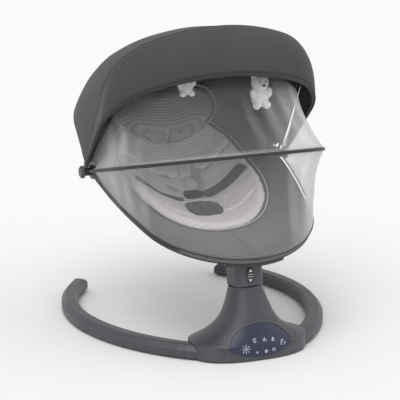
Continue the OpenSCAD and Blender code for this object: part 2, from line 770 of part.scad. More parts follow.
rim_gap = 2.2;
function slope_at(y) = y < hub_y ? foot_slope : head_slope;
function frame_z(y) = hub_z + (y - hub_y) * tan(slope_at(y));
// Position between the hub centre, 0, and the frame hoop, 1
function seat_v(x, y) = let (s = abs(y - hub_y) / cos(slope_at(y)))
    norm([x, s]) / (oval_r(atan2(x, s), y < hub_y ? -1 : 1) - frame_r - rim_gap);
function smooth(t) = let (u = max(0, min(1, t))) u * u * (3 - 2 * u);
function sling_sag(v) = 9 * sin(180 * min(1, v)) + (sling_depth - 9) * smooth(1.12 - 1.25 * v);
function seat_z(x, y) = frame_z(y) - sling_sag(seat_v(x, y));

module seat_sling() {
    m = 64;
    function at(f, t, off) = let (c = cos(t), side = c > 0 ? -1 : 1,
            a = side > 0 ? 180 - t : t > 180 ? t - 360 : t,
            q = f * (oval_r(a, side) - frame_r - rim_gap), sl = side < 0 ? foot_slope : head_slope,
            x = q * sin(t), y = hub_y + side * q * abs(c) * cos(sl))
        [x, y, seat_z(x, y) + off];
    fs = [0.12, 0.25, 0.4, 0.52, 0.64, 0.76, 0.88, 0.998];
    color(sling_colour) disc_solid(
        [for (f = fs) [for (j = [0:m - 1]) at(f, j * 360 / m + 0.01, 0)]],
        [for (f = fs) [for (j = [0:m - 1]) at(f, j * 360 / m + 0.01, -3)]],
        [0, hub_y, seat_z(0, hub_y)], [0, hub_y, seat_z(0, hub_y) - 3]);
}

// Padded piece that lies on the seat: superellipse outline, underside lo above the sling,
// thickness t at the middle and edge_t at the rim
module seat_cushion(cx, cy, rx, ry, e, lo, t, edge_t, m = 40, base_t = 0) {
    function at(f, a, top) = let (
            x = cx + rx * f * sign(cos(a)) * pow(abs(cos(a)), e),
            y = cy + ry * f * sign(sin(a)) * pow(abs(sin(a)), e),
            z = seat_z(x, y) + lo)
        [x, y, z + top * (edge_t + (t - edge_t) * (1 - pow(f, 5)))];
    fs = [0.2, 0.4, 0.6, 0.75, 0.88, 0.96, 1];
    disc_solid(
        [for (f = fs) [for (j = [0:m - 1]) at(f, j * 360 / m + 0.01, 1)]],
        [for (f = fs) [for (j = [0:m - 1]) at(f, j * 360 / m + 0.01, 0)]],
        at(0, 0, 1), at(0, 0, 0));
}

module seat_pad() {
    color(pad_colour) seat_cushion(0, 46, 138, 171, 0.86, 1.6, 13, 4);
}

module head_pillow() {
    color([0.62, 0.63, 0.62]) seat_cushion(0, 196, 111, 41, 0.72, 15.6, 34, 8, 32);
}

module crotch_pad() {
    color([0.33, 0.33, 0.34]) seat_cushion(0, -18, 30, 36, 0.8, 16.2, 8, 3, 28);
}

// Flat strap that follows the seat surface through the points [x, y]
module seat_strap(path, w, lo, t) {
    n = 5;
    pts = [for (k = [0:len(path) - 2]) for (i = [0:n - 1]) let (f = i / n)
        path[k] * (1 - f) + path[k + 1] * f];
    full = concat(pts, [path[len(path) - 1]]);
    last = len(full) - 1;
    function across(i) = let (d = full[min(last, i + 1)] - full[max(0, i - 1)])
        [-d[1], d[0]] / norm(d);
    function row(s, off) = [for (i = [0:last]) let (p = full[i] + across(i) * s * w / 2)
        [p[0], p[1], seat_z(full[i][0], full[i][1]) + lo + off]];
    color([0.66, 0.66, 0.66]) grid_solid([row(-1, t), row(1, t)], [row(-1, 0), row(1, 0)]);
}

module waist_strap(side) {
    mirror_x(side) seat_strap([[22, 33], [70, 38], [112, 44]], 26, 20.4, 2.2);
}

module shoulder_strap(side) {
    mirror_x(side) seat_strap([[20, 50], [32, 84], [38, 118]], 24, 18.4, 2.2);
}

module harness_buckle() {
    color(dark_colour) translate([0, 33, seat_z(0, 33) + 20.6]) difference() {
        linear_extrude(height = 9) round_rect(34, 26, 7);
        translate([0, 0, 6]) cylinder(r = 6, h = 4);
    }
}

// ---------- toys ----------

// Place on the middle bow at distance x from the middle
function toy_hook(x) = let (s = crown_reach - 7 - (340 - sqrt(340 * 340 - x * x)))
    [x, hub_y - s * cos(mid_angle), hub_z + s * sin(mid_angle)];

// Plush animal hanging from a loop around the middle bow; drop is the loop's length
module toy(x, drop, size) {
    color(toy_colour) translate(toy_hook(x)) {
        rotate([0, 90, 0]) rotate_extrude() translate([4.6, -1.2]) square([2, 2.4]);
        translate([0, 0, -drop]) cylinder(r = 1, h = drop - 5);
        translate([0, 0, -drop - 14 * size]) {
            sphere(15 * size);
            for (s = [-1, 1]) translate([s * 10 * size, 2, 12 * size]) sphere(5.5 * size);
            translate([0, 0, -25 * size]) sphere(19 * size);
            for (s = [-1, 1]) translate([s * 12 * size, -8 * size, -41 * size]) sphere(7 * size);
            for (s = [-1, 1]) translate([s * 18 * size, -5 * size, -20 * size]) sphere(6 * size);
        }
    }
}

pedestal_shell();
base_plate();
base_screws();
rubber_feet();
arm(-1);  // arm_left
arm(1);  // arm_right
arm_end_cap(-1);  // arm_end_cap_left
arm_end_cap(1);  // arm_end_cap_right
control_panel();
circuit_board();
speaker();
power_inlet();
bearing_carrier();
upper_bearing();
lower_bearing();
drive_coil();
swing_shaft();
retaining_ring();
magnet_arm();
drive_magnet();
neck_yoke();
neck_front_shell();
neck_rear_shell();
recline_pin();
recline_button();
seat_bracket();
foot_tube();
head_tube();
hub_bracket(-1);  // hub_bracket_left
hub_bracket(1);  // hub_bracket_right
hub_pin(-1);  // hub_pin_left
hub_pin(1);  // hub_pin_right
hub_cap(-1);  // hub_cap_left
hub_cap(1);  // hub_cap_right
seat_sling();
seat_pad();
head_pillow();
crotch_pad();
harness_buckle();
waist_strap(-1);  // waist_strap_left
waist_strap(1);  // waist_strap_right
shoulder_strap(-1);  // shoulder_strap_left
shoulder_strap(1);  // shoulder_strap_right
rear_canopy();
mid_bow();
front_bow();
front_canopy();
net_hoop();
upper_net();
lower_net();
toy(-64, 56, 0.82);  // toy_left
toy(88, 78, 1.02);  // toy_right
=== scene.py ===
import json
import math

import bmesh
import bpy
import numpy as np
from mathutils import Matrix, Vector, noise
from mathutils.bvhtree import BVHTree


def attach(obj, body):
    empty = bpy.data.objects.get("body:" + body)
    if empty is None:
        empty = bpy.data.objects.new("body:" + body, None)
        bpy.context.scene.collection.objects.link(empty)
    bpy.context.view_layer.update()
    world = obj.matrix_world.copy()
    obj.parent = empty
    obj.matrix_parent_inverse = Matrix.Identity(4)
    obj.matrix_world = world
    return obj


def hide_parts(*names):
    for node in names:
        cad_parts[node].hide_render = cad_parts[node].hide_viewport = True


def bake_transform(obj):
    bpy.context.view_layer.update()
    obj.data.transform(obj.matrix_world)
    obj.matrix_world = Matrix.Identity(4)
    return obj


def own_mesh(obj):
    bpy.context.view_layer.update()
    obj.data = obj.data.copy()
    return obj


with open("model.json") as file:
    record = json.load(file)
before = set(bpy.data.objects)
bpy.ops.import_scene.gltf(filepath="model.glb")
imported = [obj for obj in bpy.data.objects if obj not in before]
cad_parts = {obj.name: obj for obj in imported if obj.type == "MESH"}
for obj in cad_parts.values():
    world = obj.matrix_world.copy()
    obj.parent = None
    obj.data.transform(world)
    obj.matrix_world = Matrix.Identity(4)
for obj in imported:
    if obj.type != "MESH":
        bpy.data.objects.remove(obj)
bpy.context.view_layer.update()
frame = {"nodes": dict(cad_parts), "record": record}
NODES = frame["nodes"]
MM = 0.001

# ---------------------------------------------------------------- camera
# Fitted to the object's outline in the photograph, at a distance that was assumed.
CAMERA_AT = (-1.389, -3.202, 1.1156)
CAMERA_FORWARD = (0.3859, 0.8895, -0.2446)
FOCAL_LENGTH, SENSOR_WIDTH, FAR_CLIP = 168.87, 36, 60
cam_data = bpy.data.cameras.new("camera")
cam_data.sensor_width = SENSOR_WIDTH
cam_data.lens = FOCAL_LENGTH
cam_data.clip_end = FAR_CLIP
camera = bpy.data.objects.new("camera", cam_data)
bpy.context.scene.collection.objects.link(camera)
camera.location = CAMERA_AT
camera.rotation_mode = "QUATERNION"
camera.rotation_quaternion = Vector(CAMERA_FORWARD).to_track_quat("-Z", "Y")
bpy.context.scene.camera = camera

# ---------------------------------------------------------------- sizes from the CAD, in mm and degrees
HUB_Y, HUB_Z = 70, 295
SEAT_W, TUBE_R = 186, 8
FOOT = dict(reach=342, crown=165, slope=18.75)
HEAD = dict(reach=235, crown=176, slope=29)
RIM_GAP, SLING_DEPTH, BAND_SAG = 2.2, 74, 9
FRONT_ANGLE, MID_ANGLE, HOOP_ANGLE, REAR_ANGLE = 45.5, 61, 14, 148
FRONT_W, FRONT_REACH, FRONT_LEG = 219, 291, 208.2
MID_W, CROWN_REACH = 203, 324
HOOP_W, HOOP_REACH, HOOP_LEG = 205, 320, 203
HUB_W1 = 195
VISOR_STEP, VISOR_BULGE, VISOR_SPARE = 9, 6, 3
REAR_TAPER, REAR_TAPER_END = 9, 150
REAR_LEG_GAP, VISOR_LEG_GAP = 7.6, 5.4
# Corner and crown radius of each bow's outline.
REAR_ARCS, VISOR_ARCS, HOOP_ARCS = (100, 330), (116, 345), (150, 260)
# Where cloth and net start along a bow's leg, and the angle at which the net meets the visor.
CLOTH_START, NET_START = 20, 24
NET_TOP_ANGLE = FRONT_ANGLE + 4
DOME_C, DOME_R = (-148, -172), 455
AXIS_Y, BUTTON_Z = -207, 147


def sind(a):
    return math.sin(math.radians(a))


def cosd(a):
    return math.cos(math.radians(a))


def smooth(t):
    u = min(1.0, max(0.0, t))
    return u * u * (3 - 2 * u)


def hills(x, y, z, size, seed=0.0):
    """Smooth noise from -1 to 1 with hills about size mm across."""
    return noise.noise(Vector((x / size + seed, y / size - seed, z / size + 2 * seed)))


# ---------------------------------------------------------------- shapes shared with the CAD
def side_r(w, reach, r1):
    return (w * w + reach * reach - 2 * reach * r1) / (2 * (w - r1))


def oval_r(angle, half):
    """Distance from the hub centre to the frame hoop's centre line at an angle from the apex."""
    reach, r1 = half["reach"], half["crown"]
    r2 = side_r(SEAT_W, reach, r1)
    c1, c2, t = reach - r1, r2 - SEAT_W, abs(angle)
    k = math.atan2(c1, c2)
    if t < math.degrees(math.atan2(r1 * math.cos(k), c1 + r1 * math.sin(k))):
        return c1 * cosd(t) + math.sqrt(max(0, r1 * r1 - (c1 * sind(t)) ** 2))
    return -c2 * sind(t) + math.sqrt(r2 * r2 - (c2 * cosd(t)) ** 2)


def seat_v(x, y):
    """Position between the hub centre, 0, and the inside of the frame hoop, 1."""
    half = FOOT if y < HUB_Y else HEAD
    s = abs(y - HUB_Y) / cosd(half["slope"])
    a = math.degrees(math.atan2(x, s))
    return math.hypot(x, s) / (oval_r(a, half) - TUBE_R - RIM_GAP)


def sag(v):
    """Depth of the sling below the hoop's plane: a slack band outside, a bowl inside."""
    return BAND_SAG * sind(180 * min(1, v)) + (SLING_DEPTH - BAND_SAG) * smooth(1.12 - 1.25 * v)


def seat_z(x, y):
    half = FOOT if y < HUB_Y else HEAD
    return HUB_Z + (y - HUB_Y) * math.tan(math.radians(half["slope"])) - sag(seat_v(x, y))


def bow_half(w, reach, rc, rk, leg, gap, n=(8, 16, 14)):
    """Half a bow as (x, reach) points: its leg from gap on, a corner arc rc and a crown arc rk."""
    s = reach - rk + math.sqrt((rk - rc) ** 2 - (w - rc) ** 2)
    top = math.degrees(math.atan2(s - reach + rk, w - rc))
    c = (w - rc - leg, s)
    d = math.hypot(*c)
    head = math.degrees(math.atan2(c[1], c[0]) - math.asin(rc / d))
    length = math.sqrt(d * d - rc * rc)
    out = []
    for k in range(n[0]):
        t = gap + (length - gap) * k / n[0]
        out.append((leg + t * cosd(head), t * sind(head)))
    for k in range(n[1]):
        a = head - 90 + (top - head + 90) * k / n[1]
        out.append((w - rc + rc * cosd(a), s + rc * sind(a)))
    for k in range(n[2]):
        a = top + (90 - top) * k / n[2]
        out.append((rk * cosd(a), reach - rk + rk * sind(a)))
    return out


def bow_path(w, reach, *rest):
    """A whole bow, from the right leg over the crown to the left leg."""
    h = bow_half(w, reach, *rest)
    return h + [(0, reach)] + [(-x, s) for x, s in reversed(h)]


def hub_point(p, phi):
    return (p[0], HUB_Y - p[1] * cosd(phi), HUB_Z + p[1] * sind(phi))


def dome_reach(phi):
    """Distance from the hub axis to the top of the rear canopy, an arc, at an angle."""
    d = DOME_C[0] * -cosd(phi) + DOME_C[1] * sind(phi)
    return d + math.sqrt(d * d - DOME_C[0] ** 2 - DOME_C[1] ** 2 + DOME_R**2)


def rear_row(phi, inset=0.0):
    w = MID_W - REAR_TAPER * (phi - MID_ANGLE) / (REAR_TAPER_END - MID_ANGLE)
    leg = HUB_W1 + REAR_LEG_GAP - inset
    path = bow_path(w - inset, dome_reach(phi) - inset, *REAR_ARCS, leg, CLOTH_START)
    return [hub_point(p, phi) for p in path]


def visor_row(phi, inset=0.0):
    u = (phi - FRONT_ANGLE) / (MID_ANGLE - FRONT_ANGLE)
    reach = FRONT_REACH + (CROWN_REACH + VISOR_STEP - FRONT_REACH) * sind(90 * u)
    reach += VISOR_BULGE * sind(180 * u)
    w = FRONT_W + (MID_W + VISOR_SPARE - FRONT_W) * u
    leg = FRONT_LEG + VISOR_LEG_GAP - inset
    path = bow_path(w - inset, reach - inset, *VISOR_ARCS, leg, CLOTH_START)
    return [hub_point(p, phi) for p in path]


def hoop_line(inset=0.0):
    path = bow_path(HOOP_W - inset, HOOP_REACH - inset, *HOOP_ARCS, HOOP_LEG, NET_START)
    return [hub_point(p, HOOP_ANGLE) for p in path]


def front_line(inset):
    """Where the net is sewn inside the visor."""
    path = bow_path(FRONT_W - inset, FRONT_REACH - inset, *VISOR_ARCS, FRONT_LEG, NET_START)
    return [hub_point(p, NET_TOP_ANGLE) for p in path]


# ---------------------------------------------------------------- mesh helpers
def new_object(name, verts, faces, uvs=None, mats=(), face_mat=None, shade=True):
    mesh = bpy.data.meshes.new(name)
    mesh.from_pydata([tuple(c * MM for c in v) for v in verts], [], faces)
    mesh.update()
    for m in mats:
        mesh.materials.append(m)
    if face_mat is not None:
        mesh.polygons.foreach_set("material_index", face_mat)
    if uvs is not None:
        layer = mesh.uv_layers.new(name="cloth")
        loops = np.zeros(len(mesh.loops), np.int32)
        mesh.loops.foreach_get("vertex_index", loops)
        layer.data.foreach_set("uv", np.asarray(uvs, np.float32)[loops].ravel())
    bm = bmesh.new()
    bm.from_mesh(mesh)
    bmesh.ops.recalc_face_normals(bm, faces=bm.faces)
    bm.to_mesh(mesh)
    bm.free()
    mesh.polygons.foreach_set("use_smooth", [shade] * len(mesh.polygons))
    obj = bpy.data.objects.new(name, mesh)
    bpy.context.scene.collection.objects.link(obj)
    return obj


def shell(name, rows, thickness, mats, closed=False, flip=False):
    """Sheet of cloth through rows of points, with its thickness; the second material is its inside."""
    p = np.array(rows, float)
    n, m = p.shape[:2]
    if closed:
        du = np.roll(p, -1, 1) - np.roll(p, 1, 1)
    else:
        du = np.gradient(p, axis=1)
    dv = np.gradient(p, axis=0)
    normal = np.cross(du, dv)
    normal /= np.maximum(np.linalg.norm(normal, axis=2, keepdims=True), 1e-9)
    if flip:
        normal = -normal
    inner = p - normal * thickness
    step_u = np.linalg.norm(np.diff(p, axis=1), axis=2)
    step_v = np.linalg.norm(np.diff(p, axis=0), axis=2)
    u = np.concatenate([np.zeros((n, 1)), np.cumsum(step_u, 1)], 1)
    u -= u.mean(1, keepdims=True)
    v = np.concatenate([np.zeros((1, m)), np.cumsum(step_v, 0)], 0)
    uv = np.stack([u, v], 2).reshape(-1, 2) * MM
    verts = np.concatenate([p.reshape(-1, 3), inner.reshape(-1, 3)])
    count = n * m
    cols = m if closed else m - 1
    faces, face_mat = [], []
    for i in range(n - 1):
        for j in range(cols):
            a, b = i * m + j, i * m + (j + 1) % m
            c, d = b + m, a + m
            faces.append((a, b, c, d))
            face_mat.append(0)
            faces.append((a + count, d + count, c + count, b + count))
            face_mat.append(min(1, len(mats) - 1))
    for i in (0, n - 1):
        for j in range(cols):
            a, b = i * m + j, i * m + (j + 1) % m
            faces.append((a, a + count, b + count, b))
            face_mat.append(0)
    if not closed:
        for j in (0, m - 1):
            for i in range(n - 1):
                a, b = i * m + j, (i + 1) * m + j
                faces.append((a, a + count, b + count, b))
                face_mat.append(0)
    return new_object(name, verts.tolist(), faces, np.concatenate([uv, uv]), mats, face_mat)


def tube(name, points, radius, mat, closed=False, sides=10):
    """Round cord, piping or bead through points."""
    p = np.array(points, float)
    n = len(p)
    if closed:
        t = np.roll(p, -1, 0) - np.roll(p, 1, 0)
    else:
        t = np.gradient(p, axis=0)
    t /= np.linalg.norm(t, axis=1, keepdims=True)
    up = np.array([0.0, 0.0, 1.0])
    if abs(t[0] @ up) > 0.9:
        up = np.array([0.0, 1.0, 0.0])
    side = np.cross(t[0], up)
    rings = []
    for i in range(n):
        side = side - t[i] * (side @ t[i])
        side /= np.linalg.norm(side)
        other = np.cross(t[i], side)
        rings.append([p[i] + radius * (side * cosd(a) + other * sind(a))
                      for a in np.arange(sides) * 360 / sides])
    verts = [tuple(q) for ring in rings for q in ring]
    length = np.concatenate([[0], np.cumsum(np.linalg.norm(np.diff(p, axis=0), axis=1))])
    uvs = [(k * 2 * math.pi * radius / sides * MM, length[i] * MM)
           for i in range(n) for k in range(sides)]
    faces = []
    for i in range(n if closed else n - 1):
        for k in range(sides):
            a, b = i * sides + k, i * sides + (k + 1) % sides
            c, d = ((i + 1) % n) * sides + (k + 1) % sides, ((i + 1) % n) * sides + k
            faces.append((a, b, c, d))
    if not closed:
        faces.append(tuple(range(sides)))
        faces.append(tuple((n - 1) * sides + k for k in range(sides)))
    return new_object(name, verts, faces, uvs, [mat])


def stitches(name, points, mat, pitch=5.0, length=3.2, radius=0.45):
    """Row of thread stitches along a line of points."""
    p = np.array(points, float)
    s = np.concatenate([[0], np.cumsum(np.linalg.norm(np.diff(p, axis=0), axis=1))])
    verts, faces, uvs = [], [], []
    for start in np.arange(pitch / 2, s[-1] - pitch, pitch):
        mid = []
        for f in (0.0, 0.5, 1.0):
            at = start + f * length
            mid.append([np.interp(at, s, p[:, k]) for k in range(3)])
        mid = np.array(mid)
        t = mid[2] - mid[0]
        t /= np.linalg.norm(t)
        side = np.cross(t, [0.0, 0.0, 1.0])
        side /= max(np.linalg.norm(side), 1e-6)
        other = np.cross(t, side)
        base = len(verts)
        for i, r in enumerate((0.25, 1.0, 0.25)):
            for a in range(0, 360, 72):
                q = mid[i] + radius * r * (side * cosd(a) + other * sind(a))
                verts.append(tuple(q))
                uvs.append((a / 360 * 0.003, start * MM))
        for i in range(2):
            for k in range(5):
                a, b = base + i * 5 + k, base + i * 5 + (k + 1) % 5
                faces.append((a, b, b + 5, a + 5))
        faces.append(tuple(base + k for k in range(5)))
        faces.append(tuple(base + 10 + k for k in range(5)))
    return new_object(name, verts, faces, uvs, [mat])


def bake_modifiers(obj):
    """Replaces the object's mesh with what its modifiers make of it."""
    dg = bpy.context.evaluated_depsgraph_get()
    mesh = bpy.data.meshes.new_from_object(obj.evaluated_get(dg))
    obj.modifiers.clear()
    old = obj.data
    obj.data = mesh
    bpy.data.meshes.remove(old)
    obj.data.polygons.foreach_set("use_smooth", [True] * len(obj.data.polygons))
    return obj


def subdivide(obj, levels=1):
    mod = obj.modifiers.new("subdivide", "SUBSURF")
    mod.levels = mod.render_levels = levels
    return bake_modifiers(obj)


def coords(obj):
    co = np.zeros(len(obj.data.vertices) * 3, np.float32)
    obj.data.vertices.foreach_get("co", co)
    return co.reshape(-1, 3).astype(float)


def set_coords(obj, co):
    obj.data.vertices.foreach_set("co", co.astype(np.float32).ravel())
    obj.data.update()


def inflate(obj, voxel, cap, pressure=4.0, frames=18):
    """Padded piece: remeshed, blown up as cloth by inner pressure, no point moving further than cap."""
    mod = obj.modifiers.new("remesh", "REMESH")
    mod.mode = "VOXEL"
    mod.voxel_size = voxel
    bake_modifiers(obj)
    rest = coords(obj)
    cloth = obj.modifiers.new("cloth", "CLOTH")
    cloth.settings.use_pressure = True
    cloth.settings.uniform_pressure_force = pressure
    cloth.settings.effector_weights.gravity = 0
    cloth.settings.quality = 5
    scene = bpy.context.scene
    cloth.point_cache.frame_start, cloth.point_cache.frame_end = 1, frames
    for f in range(1, frames + 1):
        scene.frame_set(f)
    dg = bpy.context.evaluated_depsgraph_get()
    mesh = obj.evaluated_get(dg).to_mesh()
    co = np.zeros(len(mesh.vertices) * 3, np.float32)
    mesh.vertices.foreach_get("co", co)
    obj.evaluated_get(dg).to_mesh_clear()
    obj.modifiers.clear()
    scene.frame_set(1)
    move = co.reshape(-1, 3).astype(float) - rest
    size = np.linalg.norm(move, axis=1, keepdims=True)
    move *= np.minimum(1.0, cap / np.maximum(size, 1e-9))
    set_coords(obj, rest + move)
    mod = obj.modifiers.new("smooth", "SMOOTH")
    mod.iterations, mod.factor = 3, 0.5
    bake_modifiers(obj)
    return subdivide(obj)


# ---------------------------------------------------------------- materials
def node_tree(name):
    """New material whose tree has only an output and a Principled node."""
    mat = bpy.data.materials.new(name)
    mat.use_nodes = True
    nt = mat.node_tree
    nt.nodes.clear()
    out = nt.nodes.new("ShaderNodeOutputMaterial")
    bsdf = nt.nodes.new("ShaderNodeBsdfPrincipled")
    nt.links.new(bsdf.outputs[0], out.inputs[0])
    return mat, nt, bsdf


class Graph:
    """Short names for building a node tree."""

    def __init__(self, nt):
        self.nt = nt

    def node(self, kind, **settings):
        n = self.nt.nodes.new(kind)
        for k, v in settings.items():
            setattr(n, k, v)
        return n

    def link(self, a, b):
        self.nt.links.new(a, b)

    def coord(self, kind="Object"):
        return self.node("ShaderNodeTexCoord").outputs[kind]

    def math(self, op, a, b=None, c=None, clamp=False):
        n = self.node("ShaderNodeMath", operation=op, use_clamp=clamp)
        for i, v in enumerate((a, b, c)):
            if v is None:
                continue
            if isinstance(v, (int, float)):
                n.inputs[i].default_value = v
            else:
                self.link(v, n.inputs[i])
        return n.outputs[0]

    def noise(self, vec, scale, detail=3.0, rough=0.55):
        n = self.node("ShaderNodeTexNoise")
        n.inputs["Scale"].default_value = scale
        n.inputs["Detail"].default_value = detail
        n.inputs["Roughness"].default_value = rough
        self.link(vec, n.inputs["Vector"])
        return n.outputs["Fac"]

    def remap(self, value, low, high, to_low=0.0, to_high=1.0):
        n = self.node("ShaderNodeMapRange")
        for k, v in zip(("From Min", "From Max", "To Min", "To Max"), (low, high, to_low, to_high)):
            n.inputs[k].default_value = v
        self.link(value, n.inputs["Value"])
        return n.outputs[0]

    def mix(self, fac, a, b):
        n = self.node("ShaderNodeMix", data_type="RGBA")
        self.link(fac, n.inputs["Factor"])
        for key, v in (("A", a), ("B", b)):
            socket = [s for s in n.inputs if s.name == key and s.type == "RGBA"][0]
            if isinstance(v, (tuple, list)):
                socket.default_value = (*v[:3], 1)
            else:
                self.link(v, socket)
        return [s for s in n.outputs if s.type == "RGBA"][0]

    def bump(self, height, strength, distance, normal=None):
        n = self.node("ShaderNodeBump")
        n.inputs["Strength"].default_value = strength
        n.inputs["Distance"].default_value = distance
        self.link(height, n.inputs["Height"])
        if normal is not None:
            self.link(normal, n.inputs["Normal"])
        return n.outputs[0]

    def waves(self, vec, pitch_x, pitch_y, turn=0.0):
        """Sine waves along the two cloth directions, each from 0 to 1."""
        mapping = self.node("ShaderNodeMapping")
        mapping.inputs["Rotation"].default_value = (0, 0, math.radians(turn))
        self.link(vec, mapping.inputs["Vector"])
        split = self.node("ShaderNodeSeparateXYZ")
        self.link(mapping.outputs[0], split.inputs[0])
        out = []
        for axis, pitch in ((0, pitch_x), (1, pitch_y)):
            s = self.math("SINE", self.math("MULTIPLY", split.outputs[axis], 2 * math.pi / pitch))
            out.append(self.math("MULTIPLY_ADD", s, 0.5, 0.5))
        return out


def shade(c, k):
    return tuple(min(1.0, v * k) for v in c)


def moulded(name, color, rough=0.42, grain=900.0, grain_depth=0.00005, edge_highlight=1.35, coat=0.0):
    """Moulded plastic or rubber: fine spark-eroded grain, cloudy gloss, and sharp edges made lighter as a
    painted highlight.
    """
    mat, nt, b = node_tree(name)
    g = Graph(nt)
    vec = g.coord()
    fine = g.noise(vec, grain, 2.0)
    cloud = g.noise(vec, 14.0, 4.0)
    # Painted highlight: convex edges, found by pointiness, are lightened in colour as if light caught
    # them.
    edge = g.remap(g.node("ShaderNodeNewGeometry").outputs["Pointiness"], 0.52, 0.6)
    tone = g.mix(g.remap(cloud, 0.3, 0.7), shade(color, 0.9), shade(color, 1.1))
    g.link(g.mix(edge, tone, shade(color, edge_highlight)), b.inputs["Base Color"])
    g.link(g.remap(cloud, 0.3, 0.7, rough - 0.05, rough + 0.07), b.inputs["Roughness"])
    g.link(g.bump(fine, 0.35, grain_depth), b.inputs["Normal"])
    b.inputs["Coat Weight"].default_value = coat
    b.inputs["Coat Roughness"].default_value = 0.08
    return mat


def metal(name, color, rough=0.3, turned=True):
    """Metal with fine turning lines, or with an even grain where it is cast."""
    mat, nt, b = node_tree(name)
    g = Graph(nt)
    vec = g.coord()
    mapping = g.node("ShaderNodeMapping")
    mapping.inputs["Scale"].default_value = (40, 900, 900) if turned else (1, 1, 1)
    g.link(vec, mapping.inputs["Vector"])
    lines = g.noise(mapping.outputs[0], 1.0 if turned else 240.0, 3.0)
    g.link(g.mix(g.remap(lines, 0.3, 0.7), shade(color, 0.86), shade(color, 1.08)),
           b.inputs["Base Color"])
    g.link(g.remap(lines, 0.3, 0.7, rough - 0.07, rough + 0.1), b.inputs["Roughness"])
    g.link(g.bump(lines, 0.2, 0.00008), b.inputs["Normal"])
    b.inputs["Metallic"].default_value = 1.0
    return mat


# Pitch across and along the cloth, as shares of its pitch, and the weave's turn in degrees.
WEAVES = {
    "plain": (1, 1, 0),
    "mesh": (1, 1.25, 0),
    "rib": (0.55, 2.6, 0),
    "webbing": (0.8, 1.6, 24),
    "net": (1, 1, 45),
}


def cloth(name, color, kind="plain", pitch=0.0012, rough=0.85, sheen=0.25, uv=True,
          contrast=0.3, depth=0.0003, alpha=None):
    """Cloth: plain weave, spacer mesh with round cells, ribs, twill webbing, or see-through net."""
    mat, nt, b = node_tree(name)
    g = Graph(nt)
    vec = g.coord("UV" if uv else "Object")
    wide = g.coord()
    across, along, turn = WEAVES[kind]
    wx, wy = g.waves(vec, pitch * across, pitch * along, turn)
    if kind == "plain":
        height = g.math("ABSOLUTE", g.math("SUBTRACT", wx, wy))
    elif kind == "rib":
        height = g.math("ADD", g.math("MULTIPLY", wy, 0.75), g.math("MULTIPLY", wx, 0.25))
    elif kind == "mesh":
        height = g.math("SUBTRACT", 1.0, g.math("POWER", g.math("MULTIPLY", wx, wy), 1.6))
    else:
        height = g.math("MAXIMUM", wx, wy)
    fuzz = g.noise(vec, 1800.0, 3.0)
    cloud = g.noise(wide, 9.0, 4.0)
    dark, light = shade(color, 1 - contrast), shade(color, 1 + contrast * 0.35)
    tone = g.mix(g.remap(height, 0.1, 0.95), dark, light)
    tone = g.mix(g.remap(cloud, 0.35, 0.7, 0.0, 0.35), tone, shade(color, 1.18))
    g.link(tone, b.inputs["Base Color"])
    g.link(g.remap(fuzz, 0.3, 0.7, rough - 0.06, min(1.0, rough + 0.06)), b.inputs["Roughness"])
    first = g.bump(height, 0.8, depth)
    g.link(g.bump(fuzz, 0.3, depth * 0.3, first), b.inputs["Normal"])
    b.inputs["Sheen Weight"].default_value = sheen
    b.inputs["Sheen Roughness"].default_value = 0.4
    b.inputs["Specular IOR Level"].default_value = 0.25
    if alpha is not None:
        face = g.node("ShaderNodeLayerWeight")
        face.inputs["Blend"].default_value = 0.5
        thread = g.remap(height, 0.35, 1.0, 0.5, 1.5)
        veil = g.remap(face.outputs["Facing"], 0.3, 1.0, alpha, alpha + 0.5)
        g.link(g.math("MULTIPLY", veil, thread, clamp=True), b.inputs["Alpha"])
    return mat


def plush(name, color):
    """Short pile in small tufts."""
    mat, nt, b = node_tree(name)
    g = Graph(nt)
    vec = g.coord()
    pile = g.noise(vec, 700.0, 4.0, 0.7)
    tuft = g.noise(vec, 170.0, 3.0)
    g.link(g.mix(g.remap(pile, 0.3, 0.75), shade(color, 0.8), shade(color, 1.05)), b.inputs["Base Color"])
    both = g.math("ADD", g.math("MULTIPLY", pile, 0.5), tuft)
    g.link(g.bump(both, 0.8, 0.0009), b.inputs["Normal"])
    b.inputs["Roughness"].default_value = 0.95
    b.inputs["Sheen Weight"].default_value = 0.6
    b.inputs["Sheen Roughness"].default_value = 0.5
    b.inputs["Specular IOR Level"].default_value = 0.1
    return mat


STAND = (0.052, 0.051, 0.061)
SLOT_MATERIALS = {
    "stand_plastic": moulded("stand_plastic", STAND, 0.4),
    "dark_plastic": moulded("dark_plastic", (0.022, 0.022, 0.024), 0.38),
    "foot_rubber": moulded("foot_rubber", (0.02, 0.02, 0.02), 0.8, 500.0, 0.0001, 1.5),
    "steel": metal("steel", (0.62, 0.62, 0.64)),
    "cast_metal": metal("cast_metal", (0.42, 0.42, 0.44), 0.5, False),
    "bearing_plastic": moulded("bearing_plastic", (0.62, 0.58, 0.5), 0.35),
    "copper": metal("copper", (0.62, 0.28, 0.13), 0.35),
    "panel_gloss": moulded("panel_gloss", (0.014, 0.019, 0.042), 0.36, 300.0, 0.00001, 1.2, 0.12),
    "circuit_board": moulded("circuit_board", (0.02, 0.14, 0.06), 0.35),
    "frame_paint": moulded("frame_paint", (0.018, 0.018, 0.02), 0.4, 1400.0, 0.00006, 1.6),
}
BAND = cloth("band_mesh", (0.150, 0.151, 0.149), "mesh", 0.0044, contrast=0.62, depth=0.0011)
PAD = cloth("pad_knit", (0.66, 0.615, 0.625), "rib", 0.0022, contrast=0.16, sheen=0.4, uv=False)
PILLOW = cloth("pillow_mesh", (0.31, 0.32, 0.315), "rib", 0.0017, contrast=0.4, depth=0.0006,
               uv=False)
DARK_PAD = cloth("dark_pad", (0.085, 0.083, 0.087), "plain", 0.0014, contrast=0.25, uv=False)
CANOPY = cloth("canopy_cloth", (0.068, 0.067, 0.070), "plain", 0.0011, contrast=0.14, sheen=0.12,
               depth=0.00012)
LINING = cloth("canopy_lining", (0.045, 0.048, 0.048), "plain", 0.0013, contrast=0.2, sheen=0.1)
